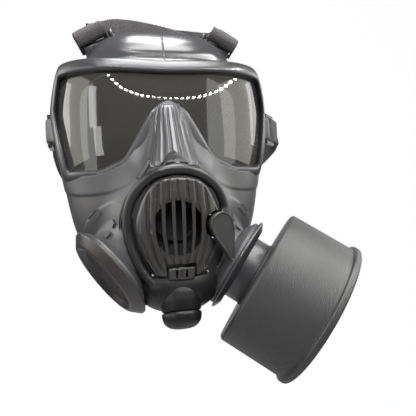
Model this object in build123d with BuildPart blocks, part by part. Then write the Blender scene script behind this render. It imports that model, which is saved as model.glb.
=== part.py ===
from build123d import *
import math
import os
import numpy as np

# Full face respirator: rubber facepiece with one panoramic lens, a front voice and outlet
# module, a drinking tube, a cheek canister and a head harness. Millimetres.
# Origin at the middle of the face opening, +Z up, the mask looks along -Y.

# ---------------------------------------------------------------- driving dimensions
SKIN = 3.0              # rubber wall of the facepiece
LENS_T = 2.2            # lens thickness
RIM_T = 4.4             # how far the lens rim stands out
REAR_Y = 14.0           # plane of the face opening's edge
GOGGLE_W = 86.0         # half width over the goggle part
AXIS_IN = (0.778, -0.313, -0.545)       # cheek inlet axis, wearer's left side
FLANGE = (46.7, -50.8, -73.0)           # centre of the cheek flange
BOSS_BACK = 8.0         # rubber boss face lies this far behind the flange plane
BOSS_R = 24.0
TUBE_R = 15.5           # inlet housing's tube through the rubber
TUBE_IN = 13.5
FLANGE_R = 36.5
NECK_R = 20.0           # 40 mm round thread
CAN_R = 53.0
CAN_RIM_R = 55.5
CAN_START = 16.5        # canister's near end from the flange plane
CAN_LEN = 54.4
STRAP_W = 22.0
STRAP_T = 1.8
BAR_R = 1.5             # buckle bar
BORE_R = 1.56           # running bore in the rubber tab
HOSE_R = 3.4
COVER_RISE = 5.0        # module cover above the surround plate


# ---------------------------------------------------------------- facepiece form
def smin(a, b, k):
    h = np.clip(0.5 + 0.5 * (b - a) / k, 0, 1)
    return b * (1 - h) + a * h - k * h * (1 - h)


def egg(p, c, sx, sy, up, down, n_up, n_down, ny):
    z = p[:, 2] - c[2]
    zz = np.where(z > 0, z / up, -z / down)
    n = np.where(z > 0, n_up, n_down)
    e = (np.abs((p[:, 0] - c[0]) / sx) ** n + zz ** n) ** (ny / n)
    return (np.sqrt(e + ((p[:, 1] - c[1]) / sy) ** 2) - 1) * min(sx, sy)


def capsule(p, a, b, ra, rb):
    a = np.array(a, float)
    d = np.array(b, float) - a
    t = np.clip(((p - a) @ d) / (d @ d), 0, 1)
    return np.linalg.norm(p - (a + t[:, None] * d), axis=1) - (ra + (rb - ra) * t)


def goggle(p):
    return egg(p, (0, 0, 36), GOGGLE_W, 54, 68, 80, 4.0, 2.4, 2.5)


def mask_form(p):
    f = smin(goggle(p), egg(p, (0, 0, 70), 64, 42, 50, 80, 2.4, 2.4, 2.0), 8)
    f = smin(f, egg(p, (0, 0, -20), 78, 62, 70, 92, 2.2, 1.75, 2.0), 12)
    f = smin(f, egg(p, (0, -46, -44), 42.5, 42, 56, 54, 2.0, 2.0, 2.0), 12)
    f = smin(f, capsule(p, (0, -48, 44), (0, -74, -6), 8, 13), 12)
    q = np.stack([np.abs(p[:, 0]), p[:, 1], p[:, 2]], axis=1)
    ax = np.array(AXIS_IN) / np.linalg.norm(AXIS_IN)
    end = np.array(FLANGE) - BOSS_BACK * ax
    h = (q - end) @ ax
    rad = np.linalg.norm(q - end - h[:, None] * ax, axis=1)
    return smin(f, np.maximum(rad - BOSS_R, np.maximum(h, -30 - h)), 8)


def distance(field, p):
    base = field(p)
    e = 0.05
    grad = [(field(p + e * np.eye(3)[i]) - base) / e for i in range(3)]
    return base / np.maximum(np.sqrt(sum(g * g for g in grad)), 0.3)


def ring(field, level, z, yc, count=40):
    """Outermost crossing of the field at one height, marched inwards from far away."""
    a = np.arange(count) * 2 * math.pi / count
    d = np.stack([np.sin(a), np.cos(a), np.zeros(count)], axis=1)
    r = np.full(count, 125.0)
    for _ in range(70):
        p = np.array([0, yc, z]) + d * r[:, None]
        r = r - 0.7 * np.clip(distance(field, p) - level, -3, 12)
    return [tuple(v) for v in np.array([0, yc, z]) + d * r[:, None]]


def body_between(field, level, heights, yc):
    """Closed solid lofted through horizontal rings of the field."""
    with BuildPart() as form:
        for z in heights:
            points = [Vector(q[0], q[1], 0) for q in ring(field, level, z, yc)]
            steps = [i / len(points) for i in range(len(points) + 1)]
            with BuildSketch(Plane.XY.offset(z)):
                with BuildLine():
                    add(Edge.make_spline(points, periodic=True, parameters=steps))
                make_face()
        loft()
    return form.part


def tuple_sum(*vectors):
    return tuple(sum(v) for v in zip(*vectors))


def times(v, s):
    return tuple(c * s for c in v)


def unit(v):
    n = math.sqrt(sum(c * c for c in v))
    return tuple(c / n for c in v)


def flip(v):
    return (-v[0], v[1], v[2])


AXIS_R = unit(AXIS_IN)
AXIS_L = flip(AXIS_R)
FLANGE_L = flip(FLANGE)


def on_axis(side, along):
    if side > 0:
        return tuple_sum(FLANGE, times(AXIS_R, along))
    return tuple_sum(FLANGE_L, times(AXIS_L, along))


def turned(side, profile, origin_along=0.0):
    """Revolve a (radius, along) profile about a cheek inlet axis."""
    axis = AXIS_R if side > 0 else AXIS_L
    across = unit((-axis[2], 0, axis[0]))
    origin = on_axis(side, origin_along)
    plane = Plane(origin=origin, x_dir=across, z_dir=Vector(across).cross(Vector(axis)))
    with BuildPart() as piece:
        with BuildSketch(plane):
            with BuildLine():
                Polyline(*profile, close=True)
            make_face()
        revolve(axis=Axis(origin, axis))
    return piece.part


def mirrored_outline(half):
    return half + [(-x, z) for x, z in half[-2:0:-1]]


def rounded(half, radius, grow=0.0):
    """Sketch face on the XZ plane from the right half of an outline, corners rounded."""
    with BuildSketch(Plane.XZ) as sk:
        with BuildLine():
            Polyline(*mirrored_outline(half), close=True)
        make_face()
        fillet([v for v in sk.vertices() if abs(v.X) > 1], radius)
        if grow:
            offset(amount=grow, kind=Kind.ARC)
    return sk.sketch


def grown(points, amount):
    """Closed outline moved outwards along its corner normals."""
    result = []
    for i, (x, z) in enumerate(points):
        ax, az = points[i - 1]
        bx, bz = points[(i + 1) % len(points)]
        run = math.hypot(bx - ax, bz - az)
        result.append((x - amount * (bz - az) / run, z + amount * (bx - ax) / run))
    return result


def smooth(half, grow=0.0):
    with BuildSketch(Plane.XZ) as sk:
        with BuildLine():
            Spline(grown(mirrored_outline(half), grow), periodic=True)
        make_face()
    return sk.sketch


def prism(sketch, y_front, y_back):
    with BuildPart() as bar:
        with BuildSketch(Plane.XZ.offset(-y_back)):
            add(sketch)
        extrude(amount=y_back - y_front)
    return bar.part


# Outlines, right half, top to bottom, as (x, z)
LENS = [(0, 71), (79, 74.5), (83.5, 48), (75, 2.5), (50, 1.5), (33, 9), (13, 43), (7, 50), (0, 51)]
RIM = [(0, 81.5), (80, 87), (90, 50), (80, -6), (48, -7.5), (27, 1), (8, 37), (0, 42)]
SURROUND = [(0, 8), (13, -3), (31, -17), (39, -36), (35, -58), (24, -79), (12, -89.5), (0, -92)]
COVER = [(0, -8), (17, -12), (27.5, -30), (28.5, -48), (20, -70), (9, -75.5), (0, -77)]
HOSE = [(29.2, -38.2), (32.2, -32.8), (32.3, -26), (26, -14.5), (14, -6.2), (0, -3.4), (-16, -7), (-28.5, -18.5),
        (-33.4, -34), (-32.4, -50), (-26.5, -67), (-17.5, -80), (-8.5, -88)]



# ---------------------------------------------------------------- facepiece
Z_BODY = [-110, -106, -100, -92, -82, -70, -58, -46, -34, -22, -10, 2, 14, 26, 38, 50, 62, 74, 86,
          95, 103, 110, 115, 118]
Z_INNER = [-107, -103, -97, -90, -81, -70, -58, -46, -34, -22, -10, 2, 14, 26, 38, 50, 62, 74, 84,
           93, 101, 107, 112, 115]
Z_GOGGLE = [-30, -20, -10, 0, 12, 24, 36, 48, 60, 72, 84, 94, 100]

outer_form = body_between(mask_form, 0.0, Z_BODY, -6)
inner_form = body_between(mask_form, -SKIN, Z_INNER, -6)
lens_front = body_between(goggle, -0.15, Z_GOGGLE, -6)
lens_back = body_between(goggle, -LENS_T, Z_GOGGLE, -6)
rim_front = body_between(goggle, RIM_T, Z_GOGGLE, -6)

lens_edge = prism(rounded(LENS, 5, 3.0), -80, -9)
lens_window = prism(rounded(LENS, 5), -80, -12)
rim_outline = prism(rounded(RIM, 6), -80, -3)
surround_outline = prism(smooth(SURROUND), -120, -35)

# strap tabs: (hinge bar centre, bar direction, direction into the rubber, tab length)
TOP_BAR = (52, -2, 108.5)
TOP_DIR = (0.866, 0, -0.5)
TOP_IN = (-0.5, 0, -0.866)
TEMPLE_BAR_R = (96, 6, 40.5)
TEMPLE_BAR_L = (-93, 11, 40.5)
TEMPLE_IN_R = unit((-0.9, -0.43, 0))
TEMPLE_IN_L = unit((0.62, -0.78, 0))
NECK_BAR = (64.5, 23, -60)
NECK_DIR = unit((0.22, 0, 0.97))
NECK_IN = (0, -1, 0)
UP = (0, 0, 1)
TABS = [(TOP_BAR, TOP_DIR, TOP_IN, 10), (flip(TOP_BAR), flip(TOP_DIR), flip(TOP_IN), 10),
        (TEMPLE_BAR_R, UP, TEMPLE_IN_R, 12.5), (TEMPLE_BAR_L, UP, TEMPLE_IN_L, 13),
        (NECK_BAR, NECK_DIR, NECK_IN, 13), (flip(NECK_BAR), flip(NECK_DIR), NECK_IN, 13)]
TAB_W = 20.0

with BuildPart() as facepiece:
    add(outer_form)
    with Locations((0, REAR_Y, 0)):
        Box(300, 200, 300, align=(Align.CENTER, Align.MIN, Align.CENTER), mode=Mode.SUBTRACT)
    for bar, along, inward, length in TABS:
        with BuildSketch(Plane(origin=bar, x_dir=along, z_dir=inward)):
            Rectangle(TAB_W, 5)
        extrude(amount=length)
        with BuildSketch(Plane(origin=tuple_sum(bar, times(along, -TAB_W / 2)), z_dir=along)):
            Circle(3.2)
        extrude(amount=TAB_W)
    add(inner_form, mode=Mode.SUBTRACT)
    add(lens_edge, mode=Mode.SUBTRACT)
    add(surround_outline, mode=Mode.SUBTRACT)
    for side in (1, -1):
        add(turned(side, [(0, -30), (19, -30), (19, -11), (TUBE_R, -11), (TUBE_R, -8), (0, -8)]),
            mode=Mode.SUBTRACT)
        add(turned(side, [(0, -8), (27, -8), (37.5, -3.5), (37.5, 20), (0, 20)]), mode=Mode.SUBTRACT)
    for bar, along, inward, length in TABS:
        with BuildSketch(Plane(origin=tuple_sum(bar, times(along, -TAB_W)), z_dir=along)):
            Circle(BORE_R)
        extrude(amount=2 * TAB_W, mode=Mode.SUBTRACT)

# a soft inner lip that turns inwards along the edge of the face opening
with BuildPart() as face_seal:
    add(inner_form)
    add(body_between(mask_form, -16.0, [-92, -86, -78, -70, -58, -46, -34, -22, -10, 2, 14, 26, 38,
                                        50, 62, 74, 84, 92, 98, 101], -6), mode=Mode.SUBTRACT)
    with Locations((0, REAR_Y - 5.5, 0)):
        Box(300, 200, 300, align=(Align.CENTER, Align.MAX, Align.CENTER), mode=Mode.SUBTRACT)
    with Locations((0, REAR_Y - 3, 0)):
        Box(300, 200, 300, align=(Align.CENTER, Align.MIN, Align.CENTER), mode=Mode.SUBTRACT)
    add(facepiece.part, mode=Mode.SUBTRACT)

# ---------------------------------------------------------------- lens and rim
with BuildPart() as eyelens:
    add(lens_front)
    add(lens_back, mode=Mode.SUBTRACT)
    add(lens_edge, mode=Mode.INTERSECT)

with BuildPart() as eyelens_rim:
    add(rim_front)
    add(rim_outline, mode=Mode.INTERSECT)
    add(outer_form, mode=Mode.SUBTRACT)
    add(lens_window, mode=Mode.SUBTRACT)

# ---------------------------------------------------------------- front module
BARREL_Y = -38
BARREL_R = 48


def barrel_radius(z, rise):
    return BARREL_R + rise - (z + 20) ** 2 / 454


def on_barrel(x, z, rise):
    return (x, BARREL_Y - math.sqrt(barrel_radius(z, rise) ** 2 - x * x), z)


def barrel(rise):
    with BuildPart() as form:
        with BuildSketch(Plane.YZ):
            with BuildLine():
                front = [(BARREL_Y - barrel_radius(z, rise), z) for z in range(-104, 17, 12)]
                Spline(front)
                Polyline(front[-1], (BARREL_Y, front[-1][1]), (BARREL_Y, front[0][1]), front[0])
            make_face()
        revolve(axis=Axis((0, BARREL_Y, 0), (0, 0, 1)))
    return form.part


LEVER_HUB = (26.5, -87.0, -41.0)
LEVER_N = unit((0.26, -0.966, 0))
SHAFT_R = 2.5
BOSS_HUB = 4.6
VOICE_Z = -36.5
OUTLET_Z = -64.0
PLATE_FRONT = -60.0
PLATE_BACK = -57.0

hose_points = [on_barrel(x, z, 1.2) for x, z in HOSE]
plug_axis = unit((0, -0.30, -0.954))
plug_base = (0, -70, -90)


def rod(start, direction, length, radius, inner=0.0):
    with BuildPart() as bar:
        with BuildSketch(Plane(origin=start, z_dir=direction)):
            Circle(radius)
            if inner:
                Circle(inner, mode=Mode.SUBTRACT)
        extrude(amount=length)
    return bar.part


def swept(points, radius, start_dir=None, end_dir=None):
    with BuildPart() as tube:
        with BuildLine() as path:
            Spline(*points)
        with BuildSketch(Plane(origin=path.line @ 0, z_dir=path.line % 0)):
            Circle(radius)
        sweep()
    return tube.part


def hub_at(along):
    return tuple_sum(LEVER_HUB, times(LEVER_N, along))


with BuildPart() as front_module_body:
    add(barrel(0))
    add(prism(smooth(SURROUND), -120, PLATE_BACK), mode=Mode.INTERSECT)
    add(prism(smooth(COVER, 0.35), -120, PLATE_FRONT), mode=Mode.SUBTRACT)
    add(rod(hub_at(-27), LEVER_N, 25.5, BOSS_HUB))
    with Locations((0, PLATE_BACK, 0)):
        Box(200, 60, 300, align=(Align.CENTER, Align.MIN, Align.CENTER), mode=Mode.SUBTRACT)
    add(rod(plug_base, plug_axis, 8.4, 5))
    add(swept(hose_points, HOSE_R + 0.05), mode=Mode.SUBTRACT)
    add(rod(hub_at(-40), LEVER_N, 60, SHAFT_R + 0.06), mode=Mode.SUBTRACT)
    add(rod((0, -80, VOICE_Z), (0, 1, 0), 40, 12.5), mode=Mode.SUBTRACT)
    add(rod((0, -80, OUTLET_Z), (0, 1, 0), 40, 8), mode=Mode.SUBTRACT)
    for x in (-9, 0, 9):
        with Locations((x, -84, 1.5 - abs(x) * 0.12)):
            Box(3, 3, 2.2, mode=Mode.SUBTRACT)
    for side in (1, -1):
        add(turned(side, [(0, -26), (19, -26), (19, -8.5), (0, -8.5)]), mode=Mode.SUBTRACT)

with BuildPart() as module_gasket:
    with BuildSketch(Plane.XZ.offset(-PLATE_BACK)):
        add(smooth(SURROUND, -1.0))
        add(smooth(SURROUND, -4.0), mode=Mode.SUBTRACT)
    extrude(amount=-1.2)
    for side in (1, -1):
        add(turned(side, [(0, -26), (19, -26), (19, -8.5), (0, -8.5)]), mode=Mode.SUBTRACT)

LATCH_W = 18.0
LATCH_TOP = -66.5
cover_low = barrel(COVER_RISE - 2.5)

with BuildPart() as front_module_cover:
    add(barrel(COVER_RISE))
    add(prism(smooth(COVER), -120, PLATE_FRONT), mode=Mode.INTERSECT)
    with BuildPart(mode=Mode.SUBTRACT) as hollow:
        add(cover_low)
        add(prism(smooth(COVER, -2.2), -120, PLATE_FRONT + 1), mode=Mode.INTERSECT)
    add(rod(hub_at(-60), LEVER_N, 80, 9.6), mode=Mode.SUBTRACT)
    for i in range(5):
        x = -14 + 6.5 * i
        half = 25 * math.sqrt(1 - ((x + 1) / 19) ** 2)
        with Locations((x, -90, -42)):
            Box(3.2, 20, 2 * half, mode=Mode.SUBTRACT)
    with Locations((0, -78.5, LATCH_TOP)):
        Box(LATCH_W + 1, 20, 20, align=(Align.CENTER, Align.MAX, Align.MAX), mode=Mode.SUBTRACT)

with BuildPart() as cover_latch:
    add(barrel(COVER_RISE))
    add(cover_low, mode=Mode.SUBTRACT)
    with BuildPart(mode=Mode.INTERSECT) as tongue:
        with Locations((0, -80, LATCH_TOP - 0.3)):
            Box(LATCH_W, 30, 9.7, align=(Align.CENTER, Align.CENTER, Align.MAX))
    add(prism(smooth(COVER), -120, -60), mode=Mode.INTERSECT)

with BuildPart() as voicemitter_ring:
    add(rod((0, PLATE_FRONT, VOICE_Z), (0, -1, 0), 6, 15, 12.5))

with BuildPart() as voicemitter_diaphragm:
    add(rod((0, PLATE_FRONT - 3, VOICE_Z), (0, -1, 0), 0.5, 12.5))


def valve_seat(centre, direction, outer, inner, thick, stem):
    """Ring with a cross of ribs and a central stem on the side the disc sits."""
    across = Plane(origin=centre, z_dir=direction)
    with BuildPart() as seat:
        with BuildSketch(across):
            Circle(outer)
            Circle(inner, mode=Mode.SUBTRACT)
            with Locations((0, 0)):
                Rectangle(2 * inner + 1, 1.8)
                Rectangle(1.8, 2 * inner + 1)
        extrude(amount=thick)
        with BuildSketch(across):
            Circle(1.2)
        extrude(amount=thick + stem)
    return seat.part


def valve_disc(centre, direction, radius, thick):
    return rod(centre, direction, thick, radius, 1.5)


with BuildPart() as outlet_valve_seat:
    add(valve_seat((0, PLATE_FRONT, OUTLET_Z), (0, -1, 0), 10.5, 8, 2.4, 4))

with BuildPart() as outlet_valve_disc:
    add(valve_disc((0, PLATE_FRONT - 2.45, OUTLET_Z), (0, -1, 0), 10, 0.8))

# ---------------------------------------------------------------- drinking system
with BuildPart() as drink_tube:
    add(swept(hose_points, HOSE_R))
    add(rod(hub_at(-40), LEVER_N, 60, BOSS_HUB + 0.05), mode=Mode.SUBTRACT)

tail = (6.3, -22.6)
with BuildPart() as drink_lever:
    with BuildSketch(Plane(origin=LEVER_HUB, x_dir=(0.966, 0.26, 0), z_dir=LEVER_N)) as teardrop:
        with BuildLine():
            CenterArc((0, 0), 8.5, 0, 360)
            CenterArc(tail, 2.2, 0, 360)
        make_hull()
    extrude(amount=4)
    add(rod(hub_at(-42), LEVER_N, 42, SHAFT_R))

with BuildPart() as internal_drink_tube:
    add(rod(hub_at(-43), LEVER_N, 5, 3.6))
    add(rod(hub_at(-40.7), (0, 0, -1), 17, 2.2))
    add(rod(hub_at(-40.7), (0, 0, -1), 17.5, 1.2), mode=Mode.SUBTRACT)
    add(rod(hub_at(-42), LEVER_N, 42, SHAFT_R), mode=Mode.SUBTRACT)

cap_start = tuple_sum(plug_base, times(plug_axis, 8.4))
with BuildPart() as drink_coupling:
    add(rod(cap_start, plug_axis, 2.0, 12))
    add(rod(cap_start, plug_axis, 8.0, 4.5))

with BuildPart() as coupling_cap:
    across = Vector(1, 0, 0).cross(Vector(plug_axis))
    with BuildSketch(Plane(origin=cap_start, x_dir=(1, 0, 0), z_dir=across)):
        with BuildLine():
            Polyline((0, 8.4), (4.6, 8.4), (4.6, 2.1), (13.6, 2.1), (13.6, 4.5), (13, 7.5),
                     (11, 10.3), (8, 12.2), (4, 13), (0, 13.2), close=True)
        make_face()
    revolve(axis=Axis(cap_start, plug_axis))

# ---------------------------------------------------------------- nosecup
CUP = [(-56.6, 27.5, 35, -44), (-46, 29, 37, -42), (-34, 31, 40, -38), (-22, 33, 43, -35),
       (-10, 34, 45, -33)]


def cup_form(inset):
    with BuildPart() as cup:
        for y, wide, tall, z in CUP:
            with BuildSketch(Plane.XZ.offset(-y)):
                with Locations((0, z)):
                    Ellipse(wide - inset, tall - inset)
        loft()
    return cup.part


CUP_VALVE = (31.5, -33, -34)
with BuildPart() as nosecup:
    add(cup_form(0))
    add(cup_form(2.0), mode=Mode.SUBTRACT)
    for sx in (1, -1):
        add(rod((sx * 20, CUP_VALVE[1], CUP_VALVE[2]), (sx, 0, 0), 20, 8.5), mode=Mode.SUBTRACT)

nosecup_seats = {}
nosecup_discs = {}
for name, sx in (("l", 1), ("r", -1)):
    centre = (sx * CUP_VALVE[0], CUP_VALVE[1], CUP_VALVE[2])
    nosecup_seats[name] = valve_seat(centre, (-sx, 0, 0), 8.5, 6.5, 2.4, 3.5)
    disc_at = (centre[0] - sx * 2.45, centre[1], centre[2])
    nosecup_discs[name] = valve_disc(disc_at, (-sx, 0, 0), 7.8, 0.8)

# ---------------------------------------------------------------- cheek inlets, both sides
HOUSING = [(TUBE_IN, -14), (TUBE_R, -14), (TUBE_R, -8), (27, -8), (34, -3), (34, -0.4), (TUBE_IN, -0.4)]
NUT = [(TUBE_R, -13.5), (18.5, -13.5), (18.5, -11), (TUBE_R, -11)]
housings = {}
nuts = {}
inlet_seats = {}
inlet_discs = {}
for name, side in (("l", 1), ("r", -1)):
    axis = AXIS_R if side > 0 else AXIS_L
    housings[name] = turned(side, HOUSING)
    nuts[name] = turned(side, NUT)
    inlet_seats[name] = valve_seat(on_axis(side, -8.5), times(axis, -1), TUBE_IN, 11, 2.0, 3.0)
    inlet_discs[name] = valve_disc(on_axis(side, -10.55), times(axis, -1), 12.6, 0.8)

BLANK = [(0, -0.3), (36.5, -0.3), (36.5, 1.2), (30, 6.4), (27, 6.4), (23, 2.6), (0, 1.8)]
blanking_cap = turned(-1, BLANK)
ADAPTER = [(TUBE_IN, -0.4), (36.5, -0.4), (36.5, 1.4), (31, 4.2), (24.5, 4.2), (24.5, 15),
           (NECK_R + 0.06, 15), (NECK_R + 0.06, 3), (TUBE_IN, 3)]
adapter_flange = turned(1, ADAPTER)

# ---------------------------------------------------------------- canister
far = CAN_START + CAN_LEN
CAN_SHELL = [(16, 4), (NECK_R, 4), (NECK_R, CAN_START), (51.5, CAN_START), (CAN_R, 18), (CAN_R, far - 2.4),
             (CAN_R - 1.2, far - 2.4), (CAN_R - 1.2, 18.2), (16, 18.2)]
CAN_LID = [(14, far - 2.4), (CAN_R, far - 2.4), (CAN_R, far - 5), (54.6, far - 5), (CAN_RIM_R, far - 4),
           (CAN_RIM_R, far - 0.8), (54.6, far), (50, far), (49, far - 1.2), (19, far - 1.2), (18, far + 1.6),
           (14, far + 1.6)]
canister_shell = turned(1, CAN_SHELL)
canister_lid = turned(1, CAN_LID)
canister_gasket = turned(1, [(NECK_R, 15), (25, 15), (25, CAN_START), (NECK_R, CAN_START)])
INNER_R = CAN_R - 1.2
sorbent_bed = turned(1, [(0, 20), (INNER_R, 20), (INNER_R, 44), (0, 44)])
particulate_filter = turned(1, [(0, 45.2), (INNER_R, 45.2), (INNER_R, 65), (0, 65)])


def grille(along):
    plate = turned(1, [(0, along), (INNER_R, along), (INNER_R, along + 1.2), (0, along + 1.2)])
    plane = Plane(origin=on_axis(1, along - 1), z_dir=AXIS_R)
    with BuildPart() as sieve:
        add(plate)
        with BuildSketch(plane):
            for ring_r, count in ((10, 6), (20, 12), (30, 18), (40, 24)):
                with PolarLocations(ring_r, count):
                    Circle(1.8)
        extrude(amount=4, mode=Mode.SUBTRACT)
    return sieve.part


grille_inner = grille(18.5)
grille_middle = grille(44.0)

# ---------------------------------------------------------------- harness
CAP_HALF = 60.0
CAP_T = 2.2
BAND_Y = 17.2
CAP_PATH = [(17, 127), (32, 138), (50, 141), (72, 130), (88, 105), (94, 70), (93, 30), (87, -5), (76, -45)]

with BuildPart() as head_cap:
    with BuildSketch(Plane.YZ):
        with BuildLine():
            Spline(*CAP_PATH)
        trace(line_width=CAP_T)
    extrude(amount=CAP_HALF, both=True)
    with Locations((0, BAND_Y + STRAP_T / 2 + 0.3, 120)):
        Box(200, 20, 60, align=(Align.CENTER, Align.MAX, Align.CENTER), mode=Mode.SUBTRACT)


def strip(points, width, thick, lean=(0, 0, 1)):
    """Flat webbing along a space curve; its width stays as near to lean as the path allows."""
    with BuildPart() as band:
        for i, p in enumerate(points):
            a = points[max(i - 1, 0)]
            b = points[min(i + 1, len(points) - 1)]
            tangent = unit(tuple_sum(b, times(a, -1)))
            dot = sum(u * v for u, v in zip(tangent, lean))
            wide = unit(tuple_sum(lean, times(tangent, -dot)))
            with BuildSketch(Plane(origin=p, x_dir=wide, z_dir=tangent)):
                Rectangle(width, thick)
        loft()
    return band.part


BAND = [(-57, 2, 118), (-53, 11, 122), (-44, 16.9, 128), (-34, BAND_Y, 130.5), (-14, BAND_Y, 129),
        (12, BAND_Y, 124), (34, BAND_Y, 117), (46, 17.0, 115.6), (54, 11, 115.6), (57.5, 2, 116.5)]
brow_band = strip(BAND, 20, STRAP_T)

EDGE_Y = 87.2
TEMPLE_PATH_R = [(115.6, 31.7, 40.5), (116.5, 34.4, 40), (114, 46, 33), (103, 63, 20), (88, 77, 7),
                 (75, 85, -1), (67, EDGE_Y, -4), (CAP_HALF + 0.05, EDGE_Y, -4)]
TEMPLE_PATH_L = [(-95.4, 40.8, 40.5), (-95.7, 45, 40), (-95, 56, 33), (-91, 68, 20), (-83, 78, 7),
                 (-74, 85, -1), (-67, EDGE_Y, -4), (-CAP_HALF - 0.05, EDGE_Y, -4)]
NECK_PATH = [(64.6, 45.3, -60), (64.7, 50, -59.5), (66.5, 59, -53), (69, 68, -44), (70, 75, -36),
             (67, 80.3, -30.5), (CAP_HALF + 0.05, 80.3, -30.5)]


def buckle(bar, along, out, reach, half=12.5, mid=0.0):
    """Slide buckle: hinge bar in the rubber tab, two cheeks, an outer bar, sometimes a middle bar."""
    with BuildPart() as frame:
        add(rod(tuple_sum(bar, times(along, -half)), along, 2 * half, BAR_R))
        add(rod(tuple_sum(bar, times(out, reach), times(along, -half)), along, 2 * half, BAR_R))
        if mid:
            add(rod(tuple_sum(bar, times(out, mid), times(along, -half)), along, 2 * half, 1.2))
        for s in (1, -1):
            with BuildSketch(Plane(origin=tuple_sum(bar, times(along, s * half), times(out, -1.6)),
                                   x_dir=along, z_dir=out)):
                Rectangle(2.6, 3.0)
            extrude(amount=reach + 3.2)
    return frame.part


def loop(bar, along, out, reach, roll_r, tail):
    """Webbing folded round the buckle's outer bar with a doubled tail."""
    centre = tuple_sum(bar, times(out, reach))
    with BuildPart() as fold:
        add(rod(tuple_sum(centre, times(along, -STRAP_W / 2 + 0.5)), along, STRAP_W - 1, roll_r))
        if tail:
            with BuildSketch(Plane(origin=centre, x_dir=along, z_dir=out)):
                Rectangle(STRAP_W - 1, 2 * STRAP_T)
            extrude(amount=tail)
        add(rod(tuple_sum(centre, times(along, -STRAP_W)), along, 2 * STRAP_W, BAR_R), mode=Mode.SUBTRACT)
    return fold.part


TOP_OUT = unit((0.4, -0.6, 0.693))
TEMPLE_OUT_R = unit((0.62, 0.78, 0))
TEMPLE_OUT_L = unit((-0.08, 0.997, 0))
NECK_OUT = (0, 1, 0)
BUCKLES = {
    "top_l": (TOP_BAR, TOP_DIR, TOP_OUT, 9.6, 4.8, 0.0, 0.0),
    "top_r": (flip(TOP_BAR), flip(TOP_DIR), flip(TOP_OUT), 9.6, 4.8, 0.0, 0.0),
    "temple_l": (TEMPLE_BAR_R, UP, TEMPLE_OUT_R, 16.0, 3.3, 13.0, 8.0),
    "temple_r": (TEMPLE_BAR_L, UP, TEMPLE_OUT_L, 16.0, 3.3, 13.0, 8.0),
    "neck_l": (NECK_BAR, NECK_DIR, NECK_OUT, 12.0, 3.3, 9.0, 0.0),
    "neck_r": (flip(NECK_BAR), flip(NECK_DIR), NECK_OUT, 12.0, 3.3, 9.0, 0.0),
}
buckles = {}
loops = {}
for name, (bar, along, out, reach, roll_r, tail_len, mid) in BUCKLES.items():
    buckles[name] = buckle(bar, along, out, reach, mid=mid)
    loops[name] = loop(bar, along, out, reach, roll_r, tail_len)

# ---------------------------------------------------------------- export
PARTS = {
    "facepiece": facepiece.part,
    "face_seal": face_seal.part,
    "eyelens": eyelens.part,
    "eyelens_rim": eyelens_rim.part,
    "front_module_body": front_module_body.part,
    "module_gasket": module_gasket.part,
    "front_module_cover": front_module_cover.part,
    "cover_latch": cover_latch.part,
    "voicemitter_ring": voicemitter_ring.part,
    "voicemitter_diaphragm": voicemitter_diaphragm.part,
    "outlet_valve_seat": outlet_valve_seat.part,
    "outlet_valve_disc": outlet_valve_disc.part,
    "drink_tube": drink_tube.part,
    "drink_lever": drink_lever.part,
    "internal_drink_tube": internal_drink_tube.part,
    "drink_coupling": drink_coupling.part,
    "coupling_cap": coupling_cap.part,
    "nosecup": nosecup.part,
    "blanking_cap": blanking_cap,
    "adapter_flange": adapter_flange,
    "canister_shell": canister_shell,
    "canister_lid": canister_lid,
    "canister_gasket": canister_gasket,
    "sorbent_bed": sorbent_bed,
    "particulate_filter": particulate_filter,
    "grille_inner": grille_inner,
    "grille_middle": grille_middle,
    "head_cap": head_cap.part,
    "brow_band": brow_band,
    "temple_strap_l": strip(TEMPLE_PATH_R, STRAP_W, STRAP_T),
    "temple_strap_r": strip(TEMPLE_PATH_L, STRAP_W, STRAP_T),
    "neck_strap_l": strip(NECK_PATH, STRAP_W, STRAP_T),
    "neck_strap_r": strip([flip(p) for p in NECK_PATH], STRAP_W, STRAP_T),
}
for name in ("l", "r"):
    PARTS["nosecup_valve_seat_" + name] = nosecup_seats[name]
    PARTS["nosecup_valve_disc_" + name] = nosecup_discs[name]
    PARTS["inlet_housing_" + name] = housings[name]
    PARTS["inlet_nut_" + name] = nuts[name]
    PARTS["inlet_valve_seat_" + name] = inlet_seats[name]
    PARTS["inlet_valve_disc_" + name] = inlet_discs[name]
for name in BUCKLES:
    PARTS["buckle_" + name] = buckles[name]
    PARTS["strap_loop_" + name] = loops[name]

os.makedirs("parts", exist_ok=True)
for name, solid in PARTS.items():
    solid.label = name
    export_step(solid, "parts/" + name + ".step")
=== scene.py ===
import math

import bmesh
import bpy
import numpy as np
from mathutils import Matrix, Vector


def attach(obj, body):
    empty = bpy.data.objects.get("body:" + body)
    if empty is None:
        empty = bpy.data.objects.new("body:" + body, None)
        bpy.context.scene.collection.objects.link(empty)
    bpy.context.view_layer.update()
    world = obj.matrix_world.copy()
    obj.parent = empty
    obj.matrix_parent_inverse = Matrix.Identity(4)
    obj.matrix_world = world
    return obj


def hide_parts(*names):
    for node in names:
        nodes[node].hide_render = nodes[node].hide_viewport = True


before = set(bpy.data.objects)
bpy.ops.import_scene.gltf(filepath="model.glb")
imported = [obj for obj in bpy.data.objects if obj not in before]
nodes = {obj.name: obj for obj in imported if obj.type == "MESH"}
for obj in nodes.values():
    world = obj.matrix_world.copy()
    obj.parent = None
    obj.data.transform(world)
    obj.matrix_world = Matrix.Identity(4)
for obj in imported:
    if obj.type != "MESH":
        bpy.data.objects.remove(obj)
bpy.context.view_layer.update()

# ---- facepiece form, in millimetres
AXIS_L = np.array([0.778, -0.313, -0.545])
AXIS_L = AXIS_L / np.linalg.norm(AXIS_L)
AXIS_R = AXIS_L * np.array([-1, 1, 1])
FLANGE_L = np.array([46.7, -50.8, -73.0])
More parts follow.
